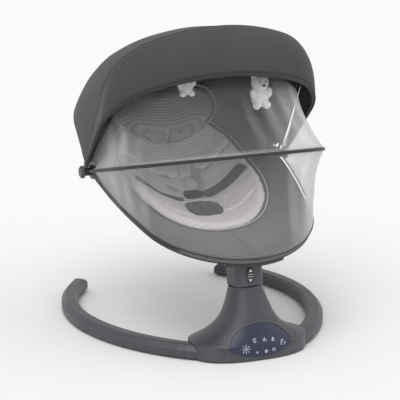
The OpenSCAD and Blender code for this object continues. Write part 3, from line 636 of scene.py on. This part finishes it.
PIPING = cloth("piping", (0.042, 0.042, 0.045), "webbing", 0.0012, contrast=0.3)
LIGHT_PIPING = cloth("light_piping", (0.42, 0.42, 0.41), "webbing", 0.0012, contrast=0.2)
WEBBING = cloth("webbing", (0.42, 0.42, 0.43), "webbing", 0.0016, contrast=0.35, depth=0.0004)
THREAD = cloth("thread", (0.11, 0.11, 0.115), "webbing", 0.0007, contrast=0.3)
LABEL = cloth("label", (0.85, 0.84, 0.83), "plain", 0.0008, contrast=0.06)
NET = cloth("net", (0.66, 0.67, 0.68), "net", 0.0021, contrast=0.1, sheen=0.2, alpha=0.045)
PLUSH = plush("plush", (0.82, 0.82, 0.79))
TOY_DARK = moulded("toy_dark", (0.015, 0.014, 0.014), 0.25)
PRINT = moulded("panel_print", (0.5, 0.55, 0.62), 0.5)
MARK = moulded("button_mark", (0.55, 0.57, 0.6), 0.45)

SLOT_OF = {s["node"]: s["material_slot"] for s in frame["record"]["subparts"]}
for name, node in NODES.items():
    mat = SLOT_MATERIALS.get(SLOT_OF.get(name))
    if mat is not None:
        node.data.materials.clear()
        node.data.materials.append(mat)
        node.data.polygons.foreach_set("use_smooth", [True] * len(node.data.polygons))


def ride(obj, body):
    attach(obj, body)
    return obj


# ---------------------------------------------------------------- seat cover
COVER_STEPS = 160
COVER_T = [360 * (k + 0.5) / COVER_STEPS for k in range(COVER_STEPS)]
COVER_GAP, COVER_THICK = 1.3, 1.1
# Rows across the bowl as shares of its radius, then rows round the tube in degrees.
BOWL_AT = (0.1, 0.2, 0.3, 0.4, 0.5, 0.58, 0.66, 0.72, 0.78, 0.83, 0.88, 0.92, 0.96, 0.99)
WRAP_AT = (118, 92, 66, 40, 14, -10, -30)
PUCKER_ROW, PUCKER_REACH = 13, 5
CENTRE_HOLE = 0.02


def cover_lift(v):
    """How far the padded band stands above the sling towards the frame tube."""
    return 9 * smooth((v - 0.8) / 0.2)


def cover_point(t, kind, value):
    """Point at t degrees round the cover; value is a share of the bowl, or degrees round the tube."""
    c = cosd(t)
    half = FOOT if c > 0 else HEAD
    side = -1 if c > 0 else 1
    k = smooth(abs(c) / 0.22)
    mean = (FOOT["slope"] + HEAD["slope"]) / 2
    slope = mean + (half["slope"] - mean) * k
    a = 180 - t if side > 0 else (t - 360 if t > 180 else t)
    big = oval_r(a, half)
    inner = big - TUBE_R - RIM_GAP
    if kind == "bowl":
        q = value * inner
        h = -sag(value) + cover_lift(value)
    else:
        q = big + (TUBE_R + COVER_GAP) * cosd(value)
        h = (TUBE_R + COVER_GAP) * sind(value)
    x, s = q * sind(t), q * abs(c)
    y = HUB_Y + side * s * cosd(slope)
    z = HUB_Z + side * s * sind(slope)
    y -= h * sind(slope)
    z += h * cosd(slope)
    return x, y, z


def cover_rows():
    rows = []
    for v in BOWL_AT:
        rows.append([cover_point(t, "bowl", v) for t in COVER_T])
    for a in WRAP_AT:
        rows.append([cover_point(t, "wrap", a) for t in COVER_T])
    return rows


rows = np.array(cover_rows())
for i in range(PUCKER_ROW - PUCKER_REACH + 1, PUCKER_ROW + PUCKER_REACH):
    edge = 1 - abs(i - PUCKER_ROW) / PUCKER_REACH
    for j in range(COVER_STEPS):
        x, y, z = rows[i, j]
        fine = abs(hills(COVER_T[j] * 1.6, i * 1.3, 0, 4.0)) * 1.3
        wide = abs(hills(x, y, z, 60, 3.1)) * 2.2
        rows[i, j, 2] += edge * (-fine - wide)
middle = [[CENTRE_HOLE * x, HUB_Y + CENTRE_HOLE * (y - HUB_Y), HUB_Z - SLING_DEPTH]
          for x, y, _ in rows[0]]
rows = np.concatenate([np.array([middle]), rows])
cover = shell("seat_cover", rows, COVER_THICK, [BAND], closed=True, flip=True)
subdivide(cover)
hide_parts("seat_sling")
ride(cover, "seat")
hem_line = [cover_point(t, "wrap", -40) for t in COVER_T]
ride(tube("seat_hem", hem_line, 1.1, PIPING, closed=True), "seat")
ride(stitches("seat_hem_stitches", [cover_point(t, "wrap", -14) for t in COVER_T], THREAD), "seat")

# ---------------------------------------------------------------- padded pieces
# Each shape is a centre, two radii, and the power that squares its outline's corners.
PAD_SHAPE = (0, 46, 135, 168, 0.86)
PILLOW_SHAPE = (0, 196, 110, 41, 0.72)
CROTCH_SHAPE = (0, -20, 37, 38, 0.8)
OUTLINE_TURN = 0.01


def above_cover(x, y, gap):
    """Height of a point that lies gap above the seat cover."""
    return seat_z(x, y) + cover_lift(seat_v(x, y)) + gap


def pad_outline(cx, cy, rx, ry, e, f, a):
    """Point of the outline scaled by f, at a degrees."""
    return (cx + rx * f * math.copysign(abs(cosd(a)) ** e, cosd(a)),
            cy + ry * f * math.copysign(abs(sind(a)) ** e, sind(a)))


def cushion(name, cx, cy, rx, ry, e, low, thick, edge, mat, steps=72):
    """Closed crowned form over the sling, low above it, thick in the middle and edge at its rim."""
    fs = [0.15, 0.3, 0.45, 0.6, 0.72, 0.82, 0.9, 0.96, 1.0]
    verts, faces = [], []
    for top in (1, 0):
        for f in fs:
            for k in range(steps):
                x, y = pad_outline(cx, cy, rx, ry, e, f, k * 360 / steps + OUTLINE_TURN)
                z = seat_z(x, y) + low + top * (edge + (thick - edge) * (1 - f**4))
                verts.append((x, y, z))
        z = seat_z(cx, cy) + low + top * thick
        verts.append((cx, cy, z))
    n = len(fs) * steps + 1
    for top in (0, 1):
        b = top * n
        for i in range(len(fs) - 1):
            for k in range(steps):
                a, c = b + i * steps + k, b + i * steps + (k + 1) % steps
                faces.append((a, c, c + steps, a + steps))
        for k in range(steps):
            faces.append((b + n - 1, b + k, b + (k + 1) % steps))
    last = (len(fs) - 1) * steps
    for k in range(steps):
        a, c = last + k, last + (k + 1) % steps
        faces.append((a, c, c + n, a + n))
    return new_object(name, verts, faces, None, [mat])


CREASE_FROM = 3


def settle(obj, gap, crease):
    """Keeps a pad above the sling by gap and presses its sewn channels in."""
    co = coords(obj)
    for i, (x, y, z) in enumerate(co):
        X, Y, Z = x / MM, y / MM, z / MM
        floor = above_cover(X, Y, gap)
        if Z - floor > CREASE_FROM:
            Z -= crease(X, Y)
        Z = max(Z, floor)
        co[i] = (x, y, Z * MM)
    set_coords(obj, co)
    return obj


def pad_crease(x, y):
    """Depth of the seat pad's sewn channels and small folds."""
    seam = 5.5 * math.exp(-(x / 3.2) ** 2) * smooth((y - 40) / 30)
    cross = 5.0 * math.exp(-((y - 96 - 0.0016 * x * x) / 3.6) ** 2)
    lower = 4.5 * math.exp(-((y + 52 - 0.0022 * x * x) / 3.6) ** 2) * smooth((115 - abs(x)) / 30)
    folds = 1.7 * hills(x, y, 0, 26, 5.0) + 1.0 * hills(x, y, 0, 11, 8.0)
    return seam + cross + lower + folds


pad = cushion("seat_pad_soft", *PAD_SHAPE, low=2.6, thick=12.5, edge=6.5, mat=PAD)
inflate(pad, voxel=0.004, cap=0.005)
settle(pad, 3.0, pad_crease)
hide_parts("seat_pad")
ride(pad, "seat")


def pad_piping(name, shape, scale, lift, radius, steps):
    """Piping round a pad, along its outline enlarged by scale."""
    rim = []
    for k in range(steps):
        x, y = pad_outline(*shape, scale, k * 360 / steps + OUTLINE_TURN)
        rim.append((x, y, above_cover(x, y, lift)))
    ride(tube(name, rim, radius, LIGHT_PIPING, closed=True), "seat")


pad_piping("pad_piping", PAD_SHAPE, 1.012, 4.6, 1.6, 180)


def pillow_crease(x, y):
    """Depth of the pillow's dip for the head, its ring and small folds."""
    u = (x / 74) ** 2 + ((y - 190) / 26) ** 2
    dip = 9 * math.exp(-u * 1.2)
    ring = 1.0 * math.exp(-((math.sqrt(u) - 1.25) / 0.25) ** 2)
    return dip + ring + 0.8 * hills(x, y, 0, 24, 2.0)


pillow = cushion("head_pillow_soft", *PILLOW_SHAPE, low=17.0, thick=30, edge=9, mat=PILLOW)
inflate(pillow, voxel=0.004, cap=0.007)
settle(pillow, 15.5, pillow_crease)
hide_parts("head_pillow")
ride(pillow, "seat")
pad_piping("pillow_piping", PILLOW_SHAPE, 1.05, 24.0, 1.5, 120)


def crotch_crease(x, y):
    """Depth of two seams along the crotch pad, and small folds."""
    return 2.0 * math.exp(-((abs(x) - 14) / 2.0) ** 2) + 0.8 * hills(x, y, 0, 12, 4.0)


crotch = cushion("crotch_pad_soft", *CROTCH_SHAPE, low=16.4, thick=8, edge=5, mat=DARK_PAD, steps=40)
inflate(crotch, voxel=0.003, cap=0.0035)
settle(crotch, 15.2, crotch_crease)
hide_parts("crotch_pad")
ride(crotch, "seat")


# ---------------------------------------------------------------- harness
def strap_rows(path, width, low, n=14):
    """Rows across a strap along a path of (x, y) points, low above the sling."""
    pts = np.array(path, float)
    s = np.concatenate([[0], np.cumsum(np.linalg.norm(np.diff(pts, axis=0), axis=1))])

    def along(at):
        return np.array([np.interp(at, s, pts[:, k]) for k in (0, 1)])

    out = []
    for at in np.linspace(0, s[-1], n * (len(path) - 1) + 1):
        x, y = along(at)
        d = along(at + 1) - along(at - 1)
        d /= max(np.linalg.norm(d), 1e-6)
        c = np.array([-d[1], d[0]])
        row = []
        for f in (-0.5, -0.3, -0.1, 0.1, 0.3, 0.5):
            px, py = x + c[0] * f * width, y + c[1] * f * width
            wave = 0.8 * sind(at * 5.2) + 0.5 * (1 - 4 * f * f)
            row.append((px, py, seat_z(x, y) + low + wave))
        out.append(row)
    return out


for side, word in ((-1, "left"), (1, "right")):
    path = [(side * 20, 50), (side * 32, 84), (side * 38, 118)]
    rows = strap_rows(path, width=23, low=19.6)
    strap = shell(f"shoulder_webbing_{word}", rows, 1.6, [WEBBING], flip=side < 0)
    subdivide(strap)
    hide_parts(f"shoulder_strap_{word}")
    ride(strap, "seat")
    path = [(side * 22, 33), (side * 70, 38), (side * 112, 44)]
    rows = strap_rows(path, width=34, low=20.4)
    belt = shell(f"waist_webbing_{word}", rows, 3.4, [DARK_PAD], flip=side < 0)
    subdivide(belt)
    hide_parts(f"waist_strap_{word}")
    ride(belt, "seat")


# ---------------------------------------------------------------- canopy
CANOPY_THICK = 1.3


def angle_weights(obj):
    """Bakes the object's transform into its mesh; the points it reads are not used."""
    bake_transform(obj)
    co = coords(obj) / MM
    return obj


def drape(rows, amount, seed, size=70.0):
    """Small slack waves in stretched cloth, none at its first and last row."""
    p = np.array(rows, float)
    n = len(p)
    for i in range(n):
        hold = max(0.0, math.sin(math.pi * i / (n - 1))) ** 0.7
        for j in range(p.shape[1]):
            x, y, z = p[i, j]
            d = np.array([x, y - HUB_Y, z - HUB_Z])
            d /= np.linalg.norm(d)
            p[i, j] += d * amount * hold * hills(x, y, z, size, seed)
    return p


def tube_wrap(p, turn, lift=4.2):
    """Point on the cloth's way round the outside of the head tube, level with p along it."""
    x, s = p[0], math.hypot(p[1] - HUB_Y, p[2] - HUB_Z)
    a = math.degrees(math.atan2(x, s))
    q = oval_r(a, HEAD) + (TUBE_R + lift) * cosd(turn)
    h = (TUBE_R + lift) * sind(turn)
    y = HUB_Y + q * cosd(a) * cosd(HEAD["slope"]) - h * sind(HEAD["slope"])
    return q * sind(a), y, HUB_Z + q * cosd(a) * sind(HEAD["slope"]) + h * cosd(HEAD["slope"])


phis = np.linspace(MID_ANGLE + 1.2, REAR_ANGLE - 6, 28)
last_row = rear_row(REAR_ANGLE)
rear_rows = list(drape([rear_row(a) for a in phis], 2.2, 1.0))
for turn in (85, 60, 35, 10, -15):
    rear_rows.append([tube_wrap(p, turn) for p in last_row])
rear = shell("canopy_rear", rear_rows, CANOPY_THICK, [CANOPY, LINING], flip=True)
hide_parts("rear_canopy")
angle_weights(rear)

phis = np.linspace(FRONT_ANGLE, MID_ANGLE - 0.4, 14)
visor_rows = drape([visor_row(a) for a in phis], 0.8, 7.0)
visor = shell("canopy_front", visor_rows, CANOPY_THICK, [CANOPY, LINING], flip=True)
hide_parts("front_canopy")
angle_weights(visor)

hem = [Vector(p) + Vector((0, -0.6, -0.6)) for p in visor_row(FRONT_ANGLE, 1.2)]
ride(tube("canopy_hem", hem, 2.3, PIPING), "front_bow")
ride(stitches("canopy_hem_stitches", visor_row(FRONT_ANGLE + 2.2, -0.3), THREAD), "front_bow")
# Dark strip across the gap where the visor meets the rear canopy: a painted shadow of that gap, in the
# piping's colour.
SEAM_SHADOW_ROWS = ((MID_ANGLE - 0.9, -1.2), (MID_ANGLE + 0.2, -0.6), (MID_ANGLE + 1.4, -0.3))
seam = [rear_row(a, inset) for a, inset in SEAM_SHADOW_ROWS]
ride(shell("canopy_seam_shadow", seam, 1.0, [PIPING], flip=True), "middle_bow")
bead = tube("canopy_edge_bead", visor_row(MID_ANGLE - 0.4, 0.6), 1.3, PIPING)
ride(bead, "middle_bow")
ride(stitches("canopy_edge_stitches", visor_row(MID_ANGLE - 2.4, -0.3), THREAD), "middle_bow")
rear_hem = tube("canopy_rear_hem", [tube_wrap(p, -18, 4.0) for p in last_row], 1.6, PIPING)
ride(rear_hem, "seat")


# ---------------------------------------------------------------- net
NET_THICK, NET_INSET, HOOP_GAP = 0.4, 26, 2.6
NET_FOCUS_Y = HUB_Y - 60
SKIRT_OUT, SKIRT_UP = 4, 6


def net_rows(a, b, pull, n=18, ripple=1.4):
    """Rows of net between two lines, drawn towards the middle of the seat by pull halfway."""
    rows = []
    for k in range(n):
        t = k / (n - 1)
        row = []
        for j, (p, q) in enumerate(zip(a, b)):
            x, y, z = (p[i] * (1 - t) + q[i] * t for i in range(3))
            d = Vector((0, NET_FOCUS_Y, z)) - Vector((x, y, z))
            d.normalize()
            bell = 4 * t * (1 - t)
            s = d * (pull * bell + ripple * bell * sind(j * 67) + 1.2 * hills(x, y, z, 40, 6.0) * bell)
            row.append((x + s[0], y + s[1], z + s[2]))
        rows.append(row)
    return rows


def skirt_foot(p):
    """Where the lower net meets the foot tube, level with p along it."""
    s = math.hypot(p[1] - HUB_Y, p[2] - HUB_Z)
    a = math.degrees(math.atan2(p[0], s))
    q = oval_r(a, FOOT) + TUBE_R + SKIRT_OUT
    x, y, z = hub_point((q * sind(a), q * cosd(a)), -FOOT["slope"])
    return x, y, z + SKIRT_UP


high_line = [(x, y, z + HOOP_GAP) for x, y, z in hoop_line()]
upper = shell("net_upper", net_rows(front_line(NET_INSET), high_line, 9), NET_THICK, [NET])
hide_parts("upper_net")
angle_weights(upper)
low_line = [(x, y, z - HOOP_GAP) for x, y, z in hoop_line()]
lower = shell("net_lower", net_rows(low_line, [skirt_foot(p) for p in low_line], 5), NET_THICK, [NET])
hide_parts("lower_net")
ride(lower, "hoop")
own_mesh(lower)
binding = [Vector(p) for p in hoop_line(-0.2)]
ride(tube("hoop_binding", binding, 3.3, PIPING, sides=12), "hoop")
ride(tube("net_elastic", [skirt_foot(p) for p in low_line], 1.2, PIPING), "seat")


# ---------------------------------------------------------------- toys
TOY_BOW_R, TOY_BOW_INSET = 340, 7


def bm_object(name, bm):
    """Object from a bmesh in mm."""
    mesh = bpy.data.meshes.new(name)
    bm.to_mesh(mesh)
    bm.free()
    for v in mesh.vertices:
        v.co *= MM
    obj = bpy.data.objects.new(name, mesh)
    bpy.context.scene.collection.objects.link(obj)
    return obj


def ball(bm, centre, radius, squash=(1, 1, 1)):
    made = bmesh.ops.create_icosphere(bm, subdivisions=3, radius=radius)
    for v in made["verts"]:
        v.co = Vector((v.co.x * squash[0], v.co.y * squash[1], v.co.z * squash[2])) + Vector(centre)


def toy(word, x, drop, k, body_name):
    """Plush bear, scaled by k, on a ribbon from the middle bow at x, with its head drop below."""
    s = CROWN_REACH - TOY_BOW_INSET - (TOY_BOW_R - math.sqrt(TOY_BOW_R * TOY_BOW_R - x * x))
    hook = Vector((x, HUB_Y - s * cosd(MID_ANGLE), HUB_Z + s * sind(MID_ANGLE)))
    head = hook + Vector((0, 0, -drop - 14 * k))
    bm = bmesh.new()
    ball(bm, head, 15 * k, (1.08, 0.95, 0.96))
    ball(bm, head + Vector((0, -10, -4)) * k, 8 * k, (1.1, 1, 0.8))
    ball(bm, head + Vector((0, 0, -25)) * k, 17 * k, (0.95, 0.9, 1.12))
    for side in (-1, 1):
        ball(bm, head + Vector((side * 11, 1, 12)) * k, 6 * k, (1, 0.7, 1))
        ball(bm, head + Vector((side * 16, -6, -17)) * k, 6 * k, (0.9, 0.9, 1.5))
        ball(bm, head + Vector((side * 10, -9, -39)) * k, 7.5 * k, (0.9, 1.25, 0.95))
    body = bm_object(f"plush_{word}", bm)
    mod = body.modifiers.new("remesh", "REMESH")
    mod.mode = "VOXEL"
    mod.voxel_size = 0.0011
    mod = body.modifiers.new("smooth", "SMOOTH")
    mod.iterations, mod.factor = 8, 0.6
    bake_modifiers(body)
    co = coords(body)
    normals = np.zeros(len(co) * 3, np.float32)
    body.data.vertices.foreach_get("normal", normals)
    normals = normals.reshape(-1, 3)
    for i, (px, py, pz) in enumerate(co / MM):
        seam = 1.1 * math.exp(-((px - x) / 0.9) ** 2) * (1 if pz < head.z - 8 * k else 0)
        tuft = 0.45 * hills(px, py, pz, 2.4, 9.0) + 0.5 * hills(px, py, pz, 7, 4.0)
        co[i] += normals[i] * (tuft - seam) * MM
    set_coords(body, co)
    body.data.materials.append(PLUSH)
    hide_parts(f"toy_{word}")
    ride(body, body_name)
    face = bmesh.new()
    ball(face, head + Vector((0, -17.6, -2.2)) * k, 2.7 * k, (1.25, 0.8, 0.85))
    for side in (-1, 1):
        ball(face, head + Vector((side * 5.6, -12.6, 3.6)) * k, 1.6 * k, (1, 0.7, 1.1))
    parts = bm_object(f"toy_face_{word}", face)
    parts.data.materials.append(TOY_DARK)
    parts.data.polygons.foreach_set("use_smooth", [True] * len(parts.data.polygons))
    ride(parts, body_name)
    loop = [hook + Vector((0, 4.4 * sind(a), 4.4 * cosd(a))) for a in range(180, 541, 20)]
    line = [
        head + Vector((0, 0, 13 * k)),
        head + Vector((0, 0.6, drop * 0.35 + 10 * k)),
        hook - Vector((0, 0, 12)),
    ]
    ribbon = tube(f"toy_ribbon_{word}", line + loop, 1.2, LIGHT_PIPING, sides=8)
    ride(ribbon, body_name)


toy("left", -64, 57, 0.88, "left_toy")
toy("right", 88, 77, 1.06, "right_toy")

# ---------------------------------------------------------------- panel print and button marks
RAY_START_Y = -0.4
BUTTON_FACE_Y = AXIS_Y - 25
panel = NODES["control_panel"]
panel_tree = BVHTree.FromPolygons([v.co.copy() for v in panel.data.vertices],
                                  [tuple(p.vertices) for p in panel.data.polygons])


def on_panel(x, z):
    """Depth of the panel's front face at x, z, or None beside it."""
    hit = panel_tree.ray_cast(Vector((x * MM, RAY_START_Y, z * MM)), Vector((0, 1, 0)))[0]
    return hit.y / MM if hit else None


def strokes(name, lines, width, mat, surface, body, rise=0.25):
    """Printed lines, each a list of [x, z], laid on a surface y(x, z)."""
    verts, faces = [], []
    for line in lines:
        p = np.array(line, float)
        d = np.gradient(p, axis=0)
        d /= np.maximum(np.linalg.norm(d, axis=1, keepdims=True), 1e-9)
        c = np.stack([-d[:, 1], d[:, 0]], 1) * width / 2
        base = len(verts)
        for q, o in zip(p, c):
            for e, lift in ((-1, 1), (1, 1), (1, 0), (-1, 0)):
                x, z = q + e * o
                y = surface(x, z)
                if y is None:
                    y = surface(*q) or 0
                verts.append((x, y - (rise if lift else -0.15), z))
        for i in range(len(p) - 1):
            for k in range(4):
                a, b = base + i * 4 + k, base + i * 4 + (k + 1) % 4
                faces.append((a, b, b + 4, a + 4))
        faces.append((base, base + 1, base + 2, base + 3))
        end = base + (len(p) - 1) * 4
        faces.append((end, end + 1, end + 2, end + 3))
    return ride(new_object(name, verts, faces, None, [mat], shade=False), body)


def ring(cx, cz, r, a0=0, a1=360, n=20):
    return [(cx + r * cosd(a), cz + r * sind(a)) for a in np.linspace(a0, a1, n)]


def bar(x0, z0, x1, z1, n=3):
    return [(x0 + (x1 - x0) * t, z0 + (z1 - z0) * t) for t in np.linspace(0, 1, n)]


# A sun, a dial, bars, a triangle, a plus, a ring, a switch and an open circle: plain marks.
icons = []
for a in range(0, 360, 45):
    icons.append(bar(-31 + 4 * cosd(a), 25 + 4 * sind(a), -31 + 8.5 * cosd(a), 25 + 8.5 * sind(a)))
icons.append(ring(-31, 25, 2.2))
icons += [ring(-13, 39, 3.2, 40, 320), bar(-13, 39, -10.6, 39)]
icons += [bar(4, 35.5, 4, 40.5), bar(6.6, 35.5, 6.6, 42), bar(9.2, 35.5, 9.2, 39)]
icons += [bar(20.5, 35, 26, 35), bar(20.5, 35, 23.2, 40.4), bar(26, 35, 23.2, 40.4)]
icons += [bar(-9.5, 14.5, -9.5, 19.5), bar(-12, 17, -7, 17)]
icons += [ring(8.5, 17, 2.6), ring(8.5, 17, 0.9)]
icons += [ring(24, 18, 2.8, -60, 240), bar(24, 18, 24, 21.5)]
icons += [ring(43, 29, 4.6, 60, 250), ring(43, 29, 4.6, -30, 20)]
icons += [bar(46.5, 24, 48, 27.5), bar(41, 29, 45, 29)]
strokes("panel_icons", icons, 0.8, PRINT, on_panel, "stand")

# A stepped arrow up, a stepped arrow down, and two lines between them.
marks = []
for z, s in ((BUTTON_Z + 9.5, 1), (BUTTON_Z - 9.5, -1)):
    for k in range(6):
        w = 3.4 * (1 - k / 6)
        at = z + s * (k * 0.72 - 2)
        marks.append(bar(-w, at, w, at))
marks.append(bar(-5.5, BUTTON_Z + 2.2, 5.5, BUTTON_Z + 2.2))
marks.append(bar(-5.5, BUTTON_Z - 2.2, 5.5, BUTTON_Z - 2.2))
strokes("button_marks", marks, 0.75, MARK, lambda x, z: BUTTON_FACE_Y, "button")

# ---------------------------------------------------------------- harness label
label = [[(x, y, seat_z(x, y) + 19.4 + 0.5 * sind(x * 20)) for x in np.linspace(43, 59, 10)]
         for y in np.linspace(16, -2, 8)]
ride(shell("harness_label", label, 0.5, [LABEL]), "seat")

# ---------------------------------------------------------------- floor and light
FLOOR_SIZE = 60
FLOOR_TONES = (0.82, 0.82, 0.82), (0.83, 0.83, 0.83)
SKY_STRENGTH = 0.74
# The direction towards each sun, its strength, and its spread in degrees.
SUNS = ((-0.35, -0.45, 1.0), 1.35, 50), ((0.9, -0.5, 0.6), 0.35, 60)
bpy.ops.mesh.primitive_plane_add(size=FLOOR_SIZE, location=(0, 0, 0))
floor = bpy.context.object
floor.name = "floor"
floor_mat, nt, b = node_tree("floor")
g = Graph(nt)
g.link(g.mix(g.remap(g.noise(g.coord(), 40.0), 0.3, 0.7), *FLOOR_TONES), b.inputs["Base Color"])
b.inputs["Roughness"].default_value = 0.9
b.inputs["Specular IOR Level"].default_value = 0.1
floor.data.materials.append(floor_mat)

world = bpy.data.worlds.new("studio")
world.use_nodes = True
world.node_tree.nodes["Background"].inputs[0].default_value = (1, 1, 1, 1)
world.node_tree.nodes["Background"].inputs[1].default_value = SKY_STRENGTH
bpy.context.scene.world = world
for direction, strength, spread in SUNS:
    light = bpy.data.lights.new("sun", "SUN")
    light.energy = strength
    light.angle = math.radians(spread)
    lamp = bpy.data.objects.new("sun", light)
    lamp.rotation_mode = "QUATERNION"
    lamp.rotation_quaternion = Vector(direction).to_track_quat("Z", "Y")
    bpy.context.scene.collection.objects.link(lamp)
bpy.context.scene.view_settings.view_transform = "Standard"
